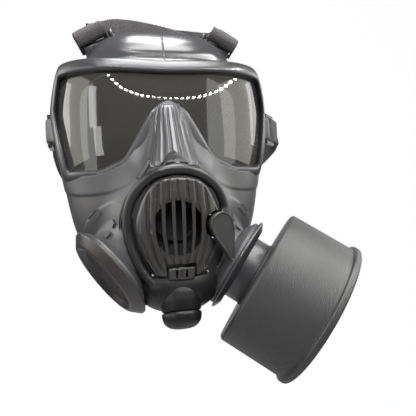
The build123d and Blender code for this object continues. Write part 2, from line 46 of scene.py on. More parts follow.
FLANGE_R = FLANGE_L * np.array([-1, 1, 1])
INLETS = ((AXIS_L, FLANGE_L), (AXIS_R, FLANGE_R))
REAR_Y = 14.0
CENTRE_Y = -6.0


def smin(a, b, k):
    h = np.clip(0.5 + 0.5 * (b - a) / k, 0, 1)
    return b * (1 - h) + a * h - k * h * (1 - h)


def egg(p, c, sx, sy, up, down, n_up, n_down, ny):
    z = p[:, 2] - c[2]
    zz = np.where(z > 0, z / up, -z / down)
    n = np.where(z > 0, n_up, n_down)
    e = (np.abs((p[:, 0] - c[0]) / sx) ** n + zz**n) ** (ny / n)
    return (np.sqrt(e + ((p[:, 1] - c[1]) / sy) ** 2) - 1) * min(sx, sy)


def capsule(p, a, b, ra, rb):
    a = np.array(a, float)
    d = np.array(b, float) - a
    t = np.clip(((p - a) @ d) / (d @ d), 0, 1)
    return np.linalg.norm(p - (a + t[:, None] * d), axis=1) - (ra + (rb - ra) * t)


def goggle(p):
    return egg(p, (0, 0, 36), 86, 54, 68, 80, 4.0, 2.4, 2.5)


def mask_form(p):
    low = egg(p, (0, 0, 36), 86, 54, 61, 80, 4.0, 2.4, 2.5)
    f = smin(low, egg(p, (0, 0, 70), 63, 42, 50, 80, 2.9, 2.4, 2.0), 6)
    f = smin(f, egg(p, (0, 0, -20), 78, 62, 70, 92, 2.2, 1.75, 2.0), 12)
    f = smin(f, egg(p, (0, -46, -44), 42.5, 42, 56, 54, 2.0, 2.0, 2.0), 12)
    f = smin(f, capsule(p, (0, -48, 44), (0, -74, -6), 8, 13), 12)
    q = np.stack([np.abs(p[:, 0]), p[:, 1], p[:, 2]], axis=1)
    end = FLANGE_L - 8.0 * AXIS_L
    h = (q - end) @ AXIS_L
    rad = np.linalg.norm(q - end - h[:, None] * AXIS_L, axis=1)
    return smin(f, np.maximum(rad - 24, np.maximum(h, -30 - h)), 8)


def gradient(field, p, e=0.05):
    base = field(p)
    return base, np.stack([(field(p + e * np.eye(3)[i]) - base) / e for i in range(3)], axis=1)


def distance_to(field, p):
    """The field scaled to about a distance."""
    base, grad = gradient(field, p)
    return base / np.maximum(np.linalg.norm(grad, axis=1), 0.3)


def march(field, origin, direction, level=0.0, far=125.0, steps=60):
    r = np.full(len(direction), far)
    for _ in range(steps):
        d = distance_to(field, origin + direction * r[:, None]) - level
        r = r - 0.7 * np.clip(d, -3, 12)
    return origin + direction * r[:, None]


def normals(field, p):
    g = gradient(field, p)[1]
    return g / np.maximum(np.linalg.norm(g, axis=1, keepdims=True), 1e-6)


def unit(v):
    v = np.array(v, float)
    return v / np.linalg.norm(v)


def smoothstep(a, b, x):
    t = np.clip((x - a) / (b - a), 0, 1)
    return t * t * (3 - 2 * t)


def columns(x, y, z):
    return np.stack([x, y, z], axis=1)


def row_unit(v):
    return v / np.linalg.norm(v, axis=1, keepdims=True)


def run_length(points):
    """Length along the points, from 0."""
    return np.concatenate([[0], np.cumsum(np.linalg.norm(np.diff(points, axis=0), axis=1))])


def curve_point(a, b, c, d, u):
    """Catmull-Rom, between b and c."""
    return 0.5 * (2 * b + (c - a) * u + (2 * a - 5 * b + 4 * c - d) * u * u + (3 * b - a - 3 * c + d) * u**3)


def from_axis(p, origin, axis):
    """Distance of each point along and from an axis."""
    q = p - origin
    h = q @ axis
    return h, np.linalg.norm(q - h[:, None] * axis, axis=1)


# ---- mesh helpers
def in_scene(name, data):
    ob = bpy.data.objects.new(name, data)
    bpy.context.scene.collection.objects.link(ob)
    return ob


def mesh_object(name, verts_mm, faces):
    me = bpy.data.meshes.new(name)
    me.from_pydata([tuple(float(c) / 1000 for c in v) for v in verts_mm], [], faces)
    me.validate()
    me.update()
    all_smooth(me)
    ob = in_scene(name, me)
    return ob


def grid_faces(rows, cols, wrap=False, keep=None):
    faces = []
    last = cols if wrap else cols - 1
    for i in range(rows - 1):
        for j in range(last):
            k = (j + 1) % cols
            quad = (i * cols + j, i * cols + k, (i + 1) * cols + k, (i + 1) * cols + j)
            if keep is None or all(keep[q] for q in quad):
                faces.append(quad)
    return faces


def use(ob, mat):
    ob.data.materials.clear()
    ob.data.materials.append(mat)
    return ob


def all_smooth(me):
    me.polygons.foreach_set("use_smooth", [True] * len(me.polygons))


def auto_smooth(ob, degrees):
    all_smooth(ob.data)
    ob.data.set_sharp_from_angle(angle=math.radians(degrees))
    return ob


def modifier(ob, kind, **values):
    m = ob.modifiers.new(kind.lower(), kind)
    for k, v in values.items():
        setattr(m, k, v)
    return m


def apply_all(ob):
    deps = bpy.context.evaluated_depsgraph_get()
    me = bpy.data.meshes.new_from_object(ob.evaluated_get(deps))
    ob.modifiers.clear()
    ob.data = me
    return ob


def shell_of(ob, thickness, mat, weld=None, smooth=None):
    """Gives a surface its thickness and finish."""
    if weld:
        clean(ob, weld)
    modifier(ob, "SOLIDIFY", thickness=thickness, offset=-1)
    apply_all(ob)
    if smooth:
        auto_smooth(ob, smooth)
    use(ob, mat)


def mirrored(half):
    return half + [(-x, z) for x, z in half[-2:0:-1]]


def resample(points, count, rounding=3):
    """Even, rounded loop through a closed polygon, by corner cutting."""
    p = np.array(points, float)
    for _ in range(rounding):
        q = np.roll(p, -1, axis=0)
        p = np.stack([0.8 * p + 0.2 * q, 0.2 * p + 0.8 * q], axis=1).reshape(-1, 2)
    loop = np.vstack([p, p[:1]])
    run = run_length(loop)
    s = np.linspace(0, run[-1], count, endpoint=False)
    return np.stack([np.interp(s, run, loop[:, 0]), np.interp(s, run, loop[:, 1])], axis=1)


def smooth_loop(points, count):
    """Periodic smooth curve through the points (Catmull-Rom)."""
    p = np.array(points, float)
    n = len(p)
    out = []
    for i in range(count):
        t = i * n / count
        k = int(t)
        u = t - k
        out.append(curve_point(p[(k - 1) % n], p[k % n], p[(k + 1) % n], p[(k + 2) % n], u))
    return np.array(out)


def signed_distance(pts, loop):
    """Distance of each (x, z) from a closed loop, negative inside."""
    best = np.full(len(pts), 1e9)
    inside = np.zeros(len(pts), bool)
    for (ax, az), (bx, bz) in zip(loop, np.roll(loop, -1, axis=0)):
        d = np.array([bx - ax, bz - az])
        l2 = max(d @ d, 1e-12)
        t = np.clip(((pts[:, 0] - ax) * d[0] + (pts[:, 1] - az) * d[1]) / l2, 0, 1)
        dx = pts[:, 0] - (ax + t * d[0])
        dz = pts[:, 1] - (az + t * d[1])
        best = np.minimum(best, dx * dx + dz * dz)
        cross = (az > pts[:, 1]) != (bz > pts[:, 1])
        xi = ax + (pts[:, 1] - az) * (bx - ax) / (bz - az if bz != az else 1e-12)
        inside ^= cross & (pts[:, 0] < xi)
    return np.sqrt(best) * np.where(inside, -1, 1)


LENS = [(0, 71), (79, 74.5), (83.5, 48), (75, 2.5), (50, 1.5), (33, 9), (13, 43), (7, 50), (0, 51)]
RIM = [(0, 81.5), (80, 87), (90, 50), (80, -6), (48, -7.5), (27, 1), (8, 37), (0, 42)]
SURROUND = [(0, 8), (13, -3), (31, -17), (39, -36), (35, -58), (24, -79), (12, -89.5), (0, -92)]
COVER = [(0, -8), (17, -12), (27.5, -30), (28.5, -48), (20, -70), (9, -75.5), (0, -77)]
HOSE = [(29.2, -38.2), (32.2, -32.8), (32.3, -26), (26, -14.5), (14, -6.2), (0, -3.4), (-16, -7),
        (-28.5, -18.5), (-33.4, -34), (-32.4, -50), (-26.5, -67), (-17.5, -80), (-8.5, -88)]

lens_loop = resample(mirrored(LENS), 220)
rim_loop = resample(mirrored(RIM), 220)
surround_loop = smooth_loop(mirrored(SURROUND), 160)
cover_loop = smooth_loop(mirrored(COVER), 160)


# ---- materials
def add_node(nt, kind, **inputs):
    """A new shader node with numbers on its sockets (From_Min sets From Min)."""
    n = nt.nodes.new("ShaderNode" + kind)
    for key, value in inputs.items():
        n.inputs[key.replace("_", " ")].default_value = value
    return n


def material(name, colour, rough, grain=900, bump=0.1, vary=0.06, coat=0.0, metallic=0.0, sheen=0.0,
        spec=0.5):
    mat = bpy.data.materials.new(name)
    mat.use_nodes = True
    nt = mat.node_tree
    link = nt.links.new
    bsdf = nt.nodes["Principled BSDF"]
    coord = add_node(nt, "TexCoord")
    big = add_node(nt, "TexNoise", Scale=26, Detail=5)
    fine = add_node(nt, "TexNoise", Scale=grain, Detail=3)
    link(coord.outputs["Object"], big.inputs["Vector"])
    link(coord.outputs["Object"], fine.inputs["Vector"])
    if vary:
        mix = nt.nodes.new("ShaderNodeMix")
        mix.data_type = "RGBA"
        mix.inputs["A"].default_value = (*[c * (1 - vary * 2) for c in colour], 1)
        mix.inputs["B"].default_value = (*[min(1, c * (1 + vary * 2)) for c in colour], 1)
        link(big.outputs["Fac"], mix.inputs["Factor"])
        link(mix.outputs["Result"], bsdf.inputs["Base Color"])
        ramp = add_node(nt, "MapRange", From_Min=0.3, From_Max=0.7, To_Min=max(0.02, rough * (1 - vary * 3)),
                To_Max=min(1, rough * (1 + vary * 3)))
        link(big.outputs["Fac"], ramp.inputs["Value"])
        link(ramp.outputs["Result"], bsdf.inputs["Roughness"])
    else:
        bsdf.inputs["Base Color"].default_value = (*colour, 1)
        bsdf.inputs["Roughness"].default_value = rough
    if bump:
        b = add_node(nt, "Bump", Strength=bump, Distance=0.0004)
        link(fine.outputs["Fac"], b.inputs["Height"])
        link(b.outputs["Normal"], bsdf.inputs["Normal"])
    bsdf.inputs["Metallic"].default_value = metallic
    bsdf.inputs["Coat Weight"].default_value = coat
    bsdf.inputs["Coat Roughness"].default_value = 0.12
    bsdf.inputs["Sheen Weight"].default_value = sheen
    bsdf.inputs["Specular IOR Level"].default_value = spec
    return mat


def add_bump(mat, height, distance=0.0004, strength=1.0):
    """Puts another height on top of a material's own bump."""
    nt = mat.node_tree
    link = nt.links.new
    bsdf = nt.nodes["Principled BSDF"]
    b = add_node(nt, "Bump", Strength=strength, Distance=distance)
    link(height, b.inputs["Height"])
    if bsdf.inputs["Normal"].links:
        link(bsdf.inputs["Normal"].links[0].from_socket, b.inputs["Normal"])
    link(b.outputs["Normal"], bsdf.inputs["Normal"])


def math_node(nt, kind, a, b=None, c=None):
    n = nt.nodes.new("ShaderNodeMath")
    n.operation = kind
    for i, v in enumerate((a, b, c)):
        if v is None:
            continue
        if hasattr(v, "is_output"):
            nt.links.new(v, n.inputs[i])
        else:
            n.inputs[i].default_value = v
    return n.outputs[0]


RUBBER = material("rubber_black", (0.044, 0.044, 0.047), 0.46, 1400, 0.10, 0.10, spec=0.5)
RIM_MAT = material("rim_black", (0.030, 0.030, 0.033), 0.34, 1400, 0.06, 0.08, spec=0.65)
SOFT = material("rubber_soft", (0.030, 0.030, 0.031), 0.55, 1500, 0.12, 0.08)
GASKET = material("gasket", [0.02] * 3, 0.6, 1500, 0.1, 0.06)
SILICONE = material("valve_silicone", (0.34, 0.33, 0.31), 0.4, 1500, 0.05, 0.05)
MODULE = material("plastic_module", (0.020, 0.020, 0.021), 0.42, 2200, 0.22, 0.05)
COVER_MAT = material("plastic_cover", (0.032, 0.030, 0.029), 0.3, 2200, 0.14, 0.06)
INNER = material("plastic_inner", [0.010] * 3, 0.6, 1600, 0.1, 0.06)
HOSE_MAT = material("hose_black", [0.016] * 3, 0.38, 1800, 0.06, 0.08)
LEVER_MAT = material("plastic_lever", [0.020] * 3, 0.42, 2400, 0.2, 0.05)
CARBON = material("carbon", [0.02] * 3, 0.9, 500, 1.0, 0.3)
PAPER = material("filter_paper", (0.75, 0.73, 0.66), 0.85, 1500, 0.5, 0.05)
STEEL = material("grille_metal", [0.09] * 3, 0.35, 1500, 0.05, 0.05, metallic=1.0)
CANISTER = material("canister_grey", (0.026, 0.027, 0.026), 0.5, 2400, 0.05, 0.08)
BUCKLE = material("buckle_plastic", (0.016, 0.016, 0.017), 0.3, 1600, 0.08, 0.06)
LENS_MAT = material("lens_clear", (0.045, 0.043, 0.039), 0.02, 600, 0.0, 0.0, spec=1.0)
LENS_MAT.node_tree.nodes["Principled BSDF"].inputs["Alpha"].default_value = 0.66
# near-black for the chin, the coupling cap and its collar, much darker than the facepiece rubber: painted shade under
# the mask
UNDERSIDE_SHADE = material("rubber_underside_shade", [0.008] * 3, 0.42, 1400, 0.08, 0.10, spec=0.35)
CAP_BLACK = material("cap_black", (0.034, 0.030, 0.028), 0.38, 1300, 0.08, 0.10, spec=0.35)
# pale beige on the mask's black inner rubber and face seal: painted reflection of the bright background, seen at
# grazing angles
INSIDE_PAINTED_LIGHT = material("rubber_inside_painted_light", (0.90, 0.87, 0.80), 0.45, 1500, 0.08, 0.08)
MARK = material("moulded_mark", [0.30] * 3, 0.5, 1800, 0.1, 0.05)


def woven(name, colour, pitch, rough=0.75, depth=0.0005, sheen=0.2):
    mat = material(name, colour, rough, 2600, 0.4, 0.12, sheen=sheen)
    nt = mat.node_tree
    link = nt.links.new
    uv = add_node(nt, "UVMap")
    uv.uv_map = "UVMap"
    sep = add_node(nt, "SeparateXYZ")
    link(uv.outputs["UV"], sep.inputs["Vector"])
    u = math_node(nt, "MULTIPLY", sep.outputs[0], 2 * math.pi / pitch)
    v = math_node(nt, "MULTIPLY", sep.outputs[1], 2 * math.pi / pitch)
    a = math_node(nt, "SINE", math_node(nt, "ADD", u, v))
    b = math_node(nt, "SINE", math_node(nt, "SUBTRACT", u, v))
    add_bump(mat, math_node(nt, "MULTIPLY", a, b), depth)
    return mat


WEBBING = woven("webbing", (0.075, 0.066, 0.070), 0.0022, 0.85, 0.0005, 0.05)
COARSE = woven("webbing_coarse", (0.11, 0.098, 0.10), 0.0042, 0.85, 0.0012, 0.1)
FABRIC = woven("cap_fabric", (0.006, 0.006, 0.007), 0.0026, 1.0, 0.0004, 0.0)

# the brow is polished by handling; the cheeks stay satin
nt = RUBBER.node_tree
bsdf = nt.nodes["Principled BSDF"]
tc = add_node(nt, "TexCoord")
sep = add_node(nt, "SeparateXYZ")
nt.links.new(tc.outputs["Object"], sep.inputs["Vector"])
high = add_node(nt, "MapRange", From_Min=0.066, From_Max=0.084)
nt.links.new(sep.outputs["Z"], high.inputs["Value"])
blend_rough = nt.nodes.new("ShaderNodeMix")
nt.links.new(high.outputs["Result"], blend_rough.inputs["Factor"])
nt.links.new(bsdf.inputs["Roughness"].links[0].from_socket, blend_rough.inputs["A"])
blend_rough.inputs["B"].default_value = 0.24
nt.links.new(blend_rough.outputs["Result"], bsdf.inputs["Roughness"])

# fine turned lines across the canister's side
nt = CANISTER.node_tree
tc = add_node(nt, "TexCoord")
dot = nt.nodes.new("ShaderNodeVectorMath")
dot.operation = "DOT_PRODUCT"
dot.inputs[1].default_value = tuple(AXIS_L)
nt.links.new(tc.outputs["Object"], dot.inputs[0])
along = dot.outputs["Value"]
lines = math_node(nt, "SINE", math_node(nt, "MULTIPLY", along, 2 * math.pi / 0.00115))
layer = nt.nodes.new("ShaderNodeTexNoise")
layer.noise_dimensions = "1D"
layer.inputs["Scale"].default_value = 700
layer.inputs["Detail"].default_value = 4
nt.links.new(along, layer.inputs["W"])
height = math_node(nt, "MULTIPLY_ADD", layer.outputs["Fac"], 1.6, math_node(nt, "MULTIPLY", lines, 0.35))
add_bump(CANISTER, height, 0.0001)


# ---- shapes swept along a path
def frame_of(axis, hint=(0, 0, 1)):
    w = unit(axis)
    u = np.cross(np.array(hint, float), w)
    if np.linalg.norm(u) < 1e-3:
        u = np.cross((1, 0, 0), w)
    u = unit(u)
    return u, np.cross(w, u), w


def lathe(name, profile, origin, axis, body, mat, segs=160, smooth=30):
    """Turns (radius, along) points round the axis."""
    u, v, w = frame_of(axis)
    o = np.array(origin, float)
    ang = np.linspace(0, 2 * math.pi, segs, endpoint=False)
    verts = []
    for r, h in profile:
        for a in ang:
            verts.append(o + w * h + r * (math.cos(a) * u + math.sin(a) * v))
    rows = len(profile)
    faces = grid_faces(rows, segs, wrap=True)
    for j in range(segs):
        k = (j + 1) % segs
        faces.append(((rows - 1) * segs + j, (rows - 1) * segs + k, k, j))
    ob = mesh_object(name, verts, faces)
    clean(ob)
    auto_smooth(ob, smooth)
    use(ob, mat)
    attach(ob, body)
    return ob


def clean(ob, dist=1e-5):
    bm = bmesh.new()
    bm.from_mesh(ob.data)
    bmesh.ops.remove_doubles(bm, verts=bm.verts, dist=dist)
    bmesh.ops.dissolve_degenerate(bm, edges=bm.edges, dist=dist * 0.5)
    bmesh.ops.recalc_face_normals(bm, faces=bm.faces)
    bm.to_mesh(ob.data)
    bm.free()


def rounded(profile, radius=0.8, steps=3):
    """Rounds a (radius, along) profile's corners a little."""
    p = [np.array(q, float) for q in profile]
    out = [p[0]]
    for a, b, c in zip(p, p[1:], p[2:]):
        da, dc = a - b, c - b
        la, lc = np.linalg.norm(da), np.linalg.norm(dc)
        if la < 1e-6 or lc < 1e-6:
            continue
        r = min(radius, 0.45 * la, 0.45 * lc)
        s, e = b + da / la * r, b + dc / lc * r
        for i in range(steps + 1):
            t = i / steps
            out.append((1 - t) ** 2 * s + 2 * t * (1 - t) * b + t * t * e)
    out.append(p[-1])
    return [tuple(q) for q in out]


def spline(points, per=12):
    p = np.array(points, float)
    p = np.vstack([2 * p[0] - p[1], p, 2 * p[-1] - p[-2]])
    out = []
    for i in range(1, len(p) - 2):
        for u in np.linspace(0, 1, per, endpoint=False):
            out.append(curve_point(p[i - 1], p[i], p[i + 1], p[i + 2], u))
    out.append(p[-2])
    return np.array(out)


def capped(rows, around):
    """Faces of a closed tube of rings."""
    return grid_faces(rows, around, wrap=True) + [tuple(range(around))[::-1],
            tuple((rows - 1) * around + j for j in range(around))]


def strip_uv(ob, across, run):
    """UVs in metres across and along a grid of len(across) columns."""
    layer = ob.data.uv_layers.new(name="UVMap")
    for poly in ob.data.polygons:
        for li in poly.loop_indices:
            vi = ob.data.loops[li].vertex_index
            layer.data[li].uv = (across[vi % len(across)], run[vi // len(across)] / 1000)


def sweep(name, path, across, width, thick, body, mat, power=6.0, around=28, taper=None):
    """A bar or strap along the path. across is the width's direction, one for all or one per point."""
    path = np.array(path, float)
    n = len(path)
    across = np.array(across, float)
    if across.ndim == 1:
        across = np.tile(across, (n, 1))
    tan = row_unit(np.gradient(path, axis=0))
    across = row_unit(across - tan * np.sum(across * tan, axis=1, keepdims=True))
    nrm = np.cross(tan, across)
    run = run_length(path)
    ang = np.linspace(0, 2 * math.pi, around, endpoint=False) + math.pi / around
    ca, sa = np.cos(ang), np.sin(ang)
    cx = np.sign(ca) * np.abs(ca) ** (2 / power)
    sx = np.sign(sa) * np.abs(sa) ** (2 / power)
    verts = []
    for i in range(n):
        k = 1.0 if taper is None else taper(run[i] / run[-1])
        kw, kt = (k, 1.0) if not isinstance(k, tuple) else k
        for a, b in zip(cx, sx):
            verts.append(path[i] + across[i] * a * width / 2 * kw + nrm[i] * (b * thick / 2 * kt))
    ob = mesh_object(name, verts, capped(n, around))
    strip_uv(ob, cx * width / 2000, run)
    auto_smooth(ob, 40)
    use(ob, mat)
    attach(ob, body)
    return ob


def tube(name, path, radius, body, mat, around=24):
    path = np.array(path, float)
    tan = row_unit(np.gradient(path, axis=0))
    up = unit(np.cross(tan[0], (0, 1, 0)))
    verts = []
    for p, t in zip(path, tan):
        up = unit(up - t * (up @ t))
        side = np.cross(t, up)
        for a in np.linspace(0, 2 * math.pi, around, endpoint=False):
            verts.append(p + radius * (math.cos(a) * up + math.sin(a) * side))
    ob = mesh_object(name, verts, capped(len(path), around))
    use(ob, mat)
    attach(ob, body)
    return ob


def block(name, centre, axes, size, body, mat, bevel=0.3):
    """A small bevelled block; axes are its three directions and size its lengths."""
    bm = bmesh.new()
    bmesh.ops.create_cube(bm, size=1)
    me = bpy.data.meshes.new(name)
    u, v, w = [np.array(a, float) for a in axes]
    for vert in bm.verts:
        q = np.array(centre) + u * vert.co.x * size[0] + v * vert.co.y * size[1] + w * vert.co.z * size[2]
        vert.co = q / 1000
    bmesh.ops.bevel(bm, geom=bm.edges, offset=bevel / 1000, segments=2, affect="EDGES", profile=0.5)
    bmesh.ops.recalc_face_normals(bm, faces=bm.faces)
    bm.to_mesh(me)
    bm.free()
    ob = in_scene(name, me)
    auto_smooth(ob, 40)
    use(ob, mat)
    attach(ob, body)
    return ob


# ---- facepiece skin
def skin_point(xz, level=0.0):
    """Front of the eye region's egg, raised by level (one or one each), at each (x, z)."""
    x, z = xz[:, 0], xz[:, 1] - 36
    zz = np.where(z > 0, z / (68 + level), -z / (80 + level))
    n = np.where(z > 0, 4.0, 2.4)
    e = (np.abs(x / (86 + level)) ** n + zz**n) ** (2.5 / n)
    y = -(54 + level) * np.sqrt(np.clip(1 - e, 0, 1))
    return columns(xz[:, 0], np.minimum(y, -3.0), xz[:, 1])


def front_of_form(xz, level=0.0):
    """Front of the whole facepiece at each (x, z), marched along +Y."""
    p = columns(xz[:, 0], np.full(len(xz), -110.0), xz[:, 1])
    for _ in range(70):
        d = distance_to(mask_form, p) - level
        p[:, 1] += 0.75 * np.clip(d, -3, 12)
    return p


def form_at(x, z, level=0.0):
    p = front_of_form(np.array([[x, z]], float), level)
    return p[0], normals(mask_form, p)[0]


def facepiece():
    rows, cols = 330, 330
    t = np.linspace(0, math.pi, rows)
    z = 4.0 - 114.6 * np.cos(t)
    origin = columns(np.zeros(rows), np.full(rows, CENTRE_Y), z)
    amax = []
    for side in (-1, 1):
        lo, hi = np.full(rows, math.pi / 2), np.full(rows, math.pi)
        for _ in range(14):
            mid = (lo + hi) / 2
            d = columns(side * np.sin(mid), -np.cos(mid), np.zeros(rows))
            back = march(mask_form, origin, d, steps=45)[:, 1] > REAR_Y
            hi, lo = np.where(back, mid, hi), np.where(back, lo, mid)
        amax.append(hi)
    u = np.linspace(0, 1, cols)
    ang = -amax[0][:, None] * (1 - u) + amax[1][:, None] * u
    d = np.stack([np.sin(ang), -np.cos(ang), np.zeros_like(ang)], axis=2).reshape(-1, 3)
    o = np.repeat(origin, cols, axis=0)
    p = march(mask_form, o, d)
    n = normals(mask_form, p)
    front = p[:, 1] < 5
    xz = p[:, [0, 2]]
    x, zz = p[:, 0], p[:, 2]
    rim = signed_distance(xz, rim_loop)
    disp = np.zeros(len(p))
    low = smoothstep(34, 12, zz) * front
    disp += 0.7 * smoothstep(10.2, 8.8, rim) * low * smoothstep(22, 30, np.abs(x))
    dome = smoothstep(80, 86, zz)
    disp -= 1.6 * np.exp(-(((rim - 4.5) / 3.2) ** 2)) * dome * smoothstep(70, 62, np.abs(x))
    disp += 0.4 * np.exp(-((x / 0.45) ** 2)) * dome
    for axis, flange in INLETS:
        h, rad = from_axis(p, flange, axis)
        disp += 0.7 * smoothstep(42.0, 40.8, rad) * smoothstep(-60, -40, h) * (np.sign(x) == np.sign(axis[0]))
    half = np.interp(zz, [-6, 6, 20, 38, 50], [19, 13.5, 9.5, 6.5, 5.5])
    rib = x / half
    fan = np.cos(rib * math.pi * 3.0)
    disp += 0.75 * smoothstep(-0.1, 0.7, fan) * smoothstep(1.02, 0.9, np.abs(rib)) * smoothstep(-1, 4, zz) \
        * smoothstep(39, 34, zz) * front
    p = p + n * disp[:, None]
    lens = signed_distance(xz, lens_loop)
    module = signed_distance(xz, surround_loop)
    gone = (lens < 3.0) & (p[:, 1] < -9)
    gone |= (module < -2.5) & (p[:, 1] < -20)
    for axis, flange in INLETS:
        h, rad = from_axis(p, flange, axis)
        gone |= (rad < 19) & (h > -16)
    ob = mesh_object("facepiece_skin", p, grid_faces(rows, cols, keep=~gone))
    clean(ob, 2e-5)
    use(ob, RUBBER)
    # the inner side takes the pale inner material: painted reflection
    ob.data.materials.append(INSIDE_PAINTED_LIGHT)
    modifier(ob, "SOLIDIFY", thickness=0.0028, offset=-1, use_even_offset=False, material_offset=1,
            material_offset_rim=0)
    apply_all(ob)
    all_smooth(ob.data)
    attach(ob, "mask")
    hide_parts("facepiece")


facepiece()


def nose_ribs():
    """Fine vertical ribs over the bridge, fanning out towards the bottom."""
    us = np.linspace(-1.04, 1.04, 170)
    zs = np.linspace(-1.5, 47.0, 120)
    half = np.interp(zs, [-2, 6, 20, 32, 42, 47], [17.5, 15.5, 12.6, 11.2, 9.6, 7.5])
    x = us[None, :] * half[:, None]
    xz = np.stack([x.ravel(), np.repeat(zs, len(us))], axis=1)
    p = front_of_form(xz)
    n = normals(mask_form, p)
    u = np.tile(us, len(zs))
    fan = np.abs((u * 3.0) - np.round(u * 3.0)) * 2
    z = xz[:, 1]
    raise_by = 1.05 * smoothstep(0.98, 0.45, fan)
    raise_by *= smoothstep(1.04, 0.96, np.abs(u)) * smoothstep(-1.5, 2.0, z) * smoothstep(46, 37, z)
    edge = smoothstep(1.04, 0.9, np.abs(u)) * smoothstep(47, 43, z) * smoothstep(-1.5, -0.5, z)
    p = p + n * (raise_by + 0.9 * edge - 0.35)[:, None]
    ob = mesh_object("nose_ribs", p, grid_faces(len(zs), len(us)))
    shell_of(ob, 0.001, RIM_MAT)
    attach(ob, "mask")
    for s in (1, -1):
        p, n = form_at(s * 19.6, -1.5)
        down = np.array([s * 0.50, 0, -0.87])
        down = unit(down - n * (down @ n))
        block(f"bridge_slab_{'lr'[s < 0]}0", p + n * 0.1, (down, np.cross(n, down), n), (15, 5.2, 1.9), "mask",
              RUBBER, 0.5)


nose_ribs()

# ---- lens and its rim
def anchored(pairs, step=0.8, spread=5):
    """Two closed loops of matching points, rounded alike."""
    a, b = [], []
    for (p0, q0), (p1, q1) in zip(pairs, pairs[1:] + pairs[:1]):
        p0, q0, p1, q1 = [np.array(v, float) for v in (p0, q0, p1, q1)]
        n = max(2, int(max(np.linalg.norm(p1 - p0), np.linalg.norm(q1 - q0)) / step))
        for i in range(n):
            a.append(p0 + (p1 - p0) * i / n)
            b.append(q0 + (q1 - q0) * i / n)
    out = []
    for loop in (np.array(a), np.array(b)):
        k = np.arange(-3 * spread, 3 * spread + 1)
        w = np.exp(-((k / spread) ** 2))
        w /= w.sum()
        out.append(sum(wi * np.roll(loop, int(-ki), axis=0) for wi, ki in zip(w, k)))
    return out


right_pairs = [((0, 71), (0, 81.5)), ((79, 74.5), (80, 87)), ((83.5, 48), (90, 50)), ((75, 2.5), (80, -6)),
        ((50, 1.5), (48, -7.5)), ((33, 9), (27, 1)), ((13, 43), (8, 37)), ((0, 51), (0, 42))]
flip = [((-p[0], p[1]), (-q[0], q[1])) for p, q in right_pairs[-2:0:-1]]
inner_loop, outer_loop = anchored(right_pairs + flip)


def eye_rim():
    section = [(-0.015, -2.0), (-0.01, 0.4), (0.0, 1.6), (0.03, 2.6), (0.09, 3.5), (0.18, 4.15), (0.30, 4.4),
            (0.45, 4.5), (0.62, 4.5), (0.78, 4.35), (0.87, 4.0), (0.93, 3.3), (0.97, 2.4), (1.0, 1.2),
            (1.005, 0.0), (1.005, -1.5)]
    n = len(inner_loop)
    verts = []
    near_nose = smoothstep(34, 20, np.abs(inner_loop[:, 0])) * smoothstep(58, 52, inner_loop[:, 1])
    for t, level in section:
        xz = inner_loop + (outer_loop - inner_loop) * t
        verts.append(skin_point(xz, level * (1 - 0.62 * near_nose * (level > 0))))
    back = verts[-1].copy()
    back[:, 1] += 9 * smoothstep(70, 80, back[:, 2])
    verts.append(back)
    section = section + [(1.005, -1.5)]
    verts = np.array(verts).reshape(-1, 3)
    ob = mesh_object("eye_rim", verts, grid_faces(len(section), n, wrap=True))
    clean(ob)
    use(ob, RIM_MAT)
    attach(ob, "mask")
    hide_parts("eyelens_rim")


def lens_sheet():
    xs = np.arange(-90, 90.1, 1.0)
    zs = np.arange(-4, 84.1, 1.0)
    grid = np.array([(x, z) for z in zs for x in xs])
    keep = signed_distance(grid, inner_loop) < 2.2
    p = skin_point(grid, -0.15)
    keep &= p[:, 1] < -4
    ob = mesh_object("lens", p, grid_faces(len(zs), len(xs), keep=keep))
    bm = bmesh.new()
    bm.from_mesh(ob.data)
    bmesh.ops.delete(bm, geom=[v for v in bm.verts if not v.link_faces], context="VERTS")
    bmesh.ops.recalc_face_normals(bm, faces=bm.faces)
    if sum(f.normal.y for f in bm.faces) > 0:
        bmesh.ops.reverse_faces(bm, faces=bm.faces)
    bm.to_mesh(ob.data)
    bm.free()
    modifier(ob, "SOLIDIFY", thickness=0.0022, offset=-1)
    apply_all(ob)
    all_smooth(ob.data)
    use(ob, LENS_MAT)
    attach(ob, "mask")
    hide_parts("eyelens")


eye_rim()
lens_sheet()

# ---- front module
BARREL_Y = -38.0


def barrel(x, z, rise=0.0):
    radius = 48 + rise - (z + 20) ** 2 / 454
    return BARREL_Y - np.sqrt(np.maximum(radius**2 - x**2, 1))


def half_width(loop, zs):
    """The loop's x on its right side at each z."""
    right = loop[loop[:, 0] >= -1e-6]
    order = np.argsort(right[:, 1])
    return np.interp(zs, right[order, 1], right[order, 0])


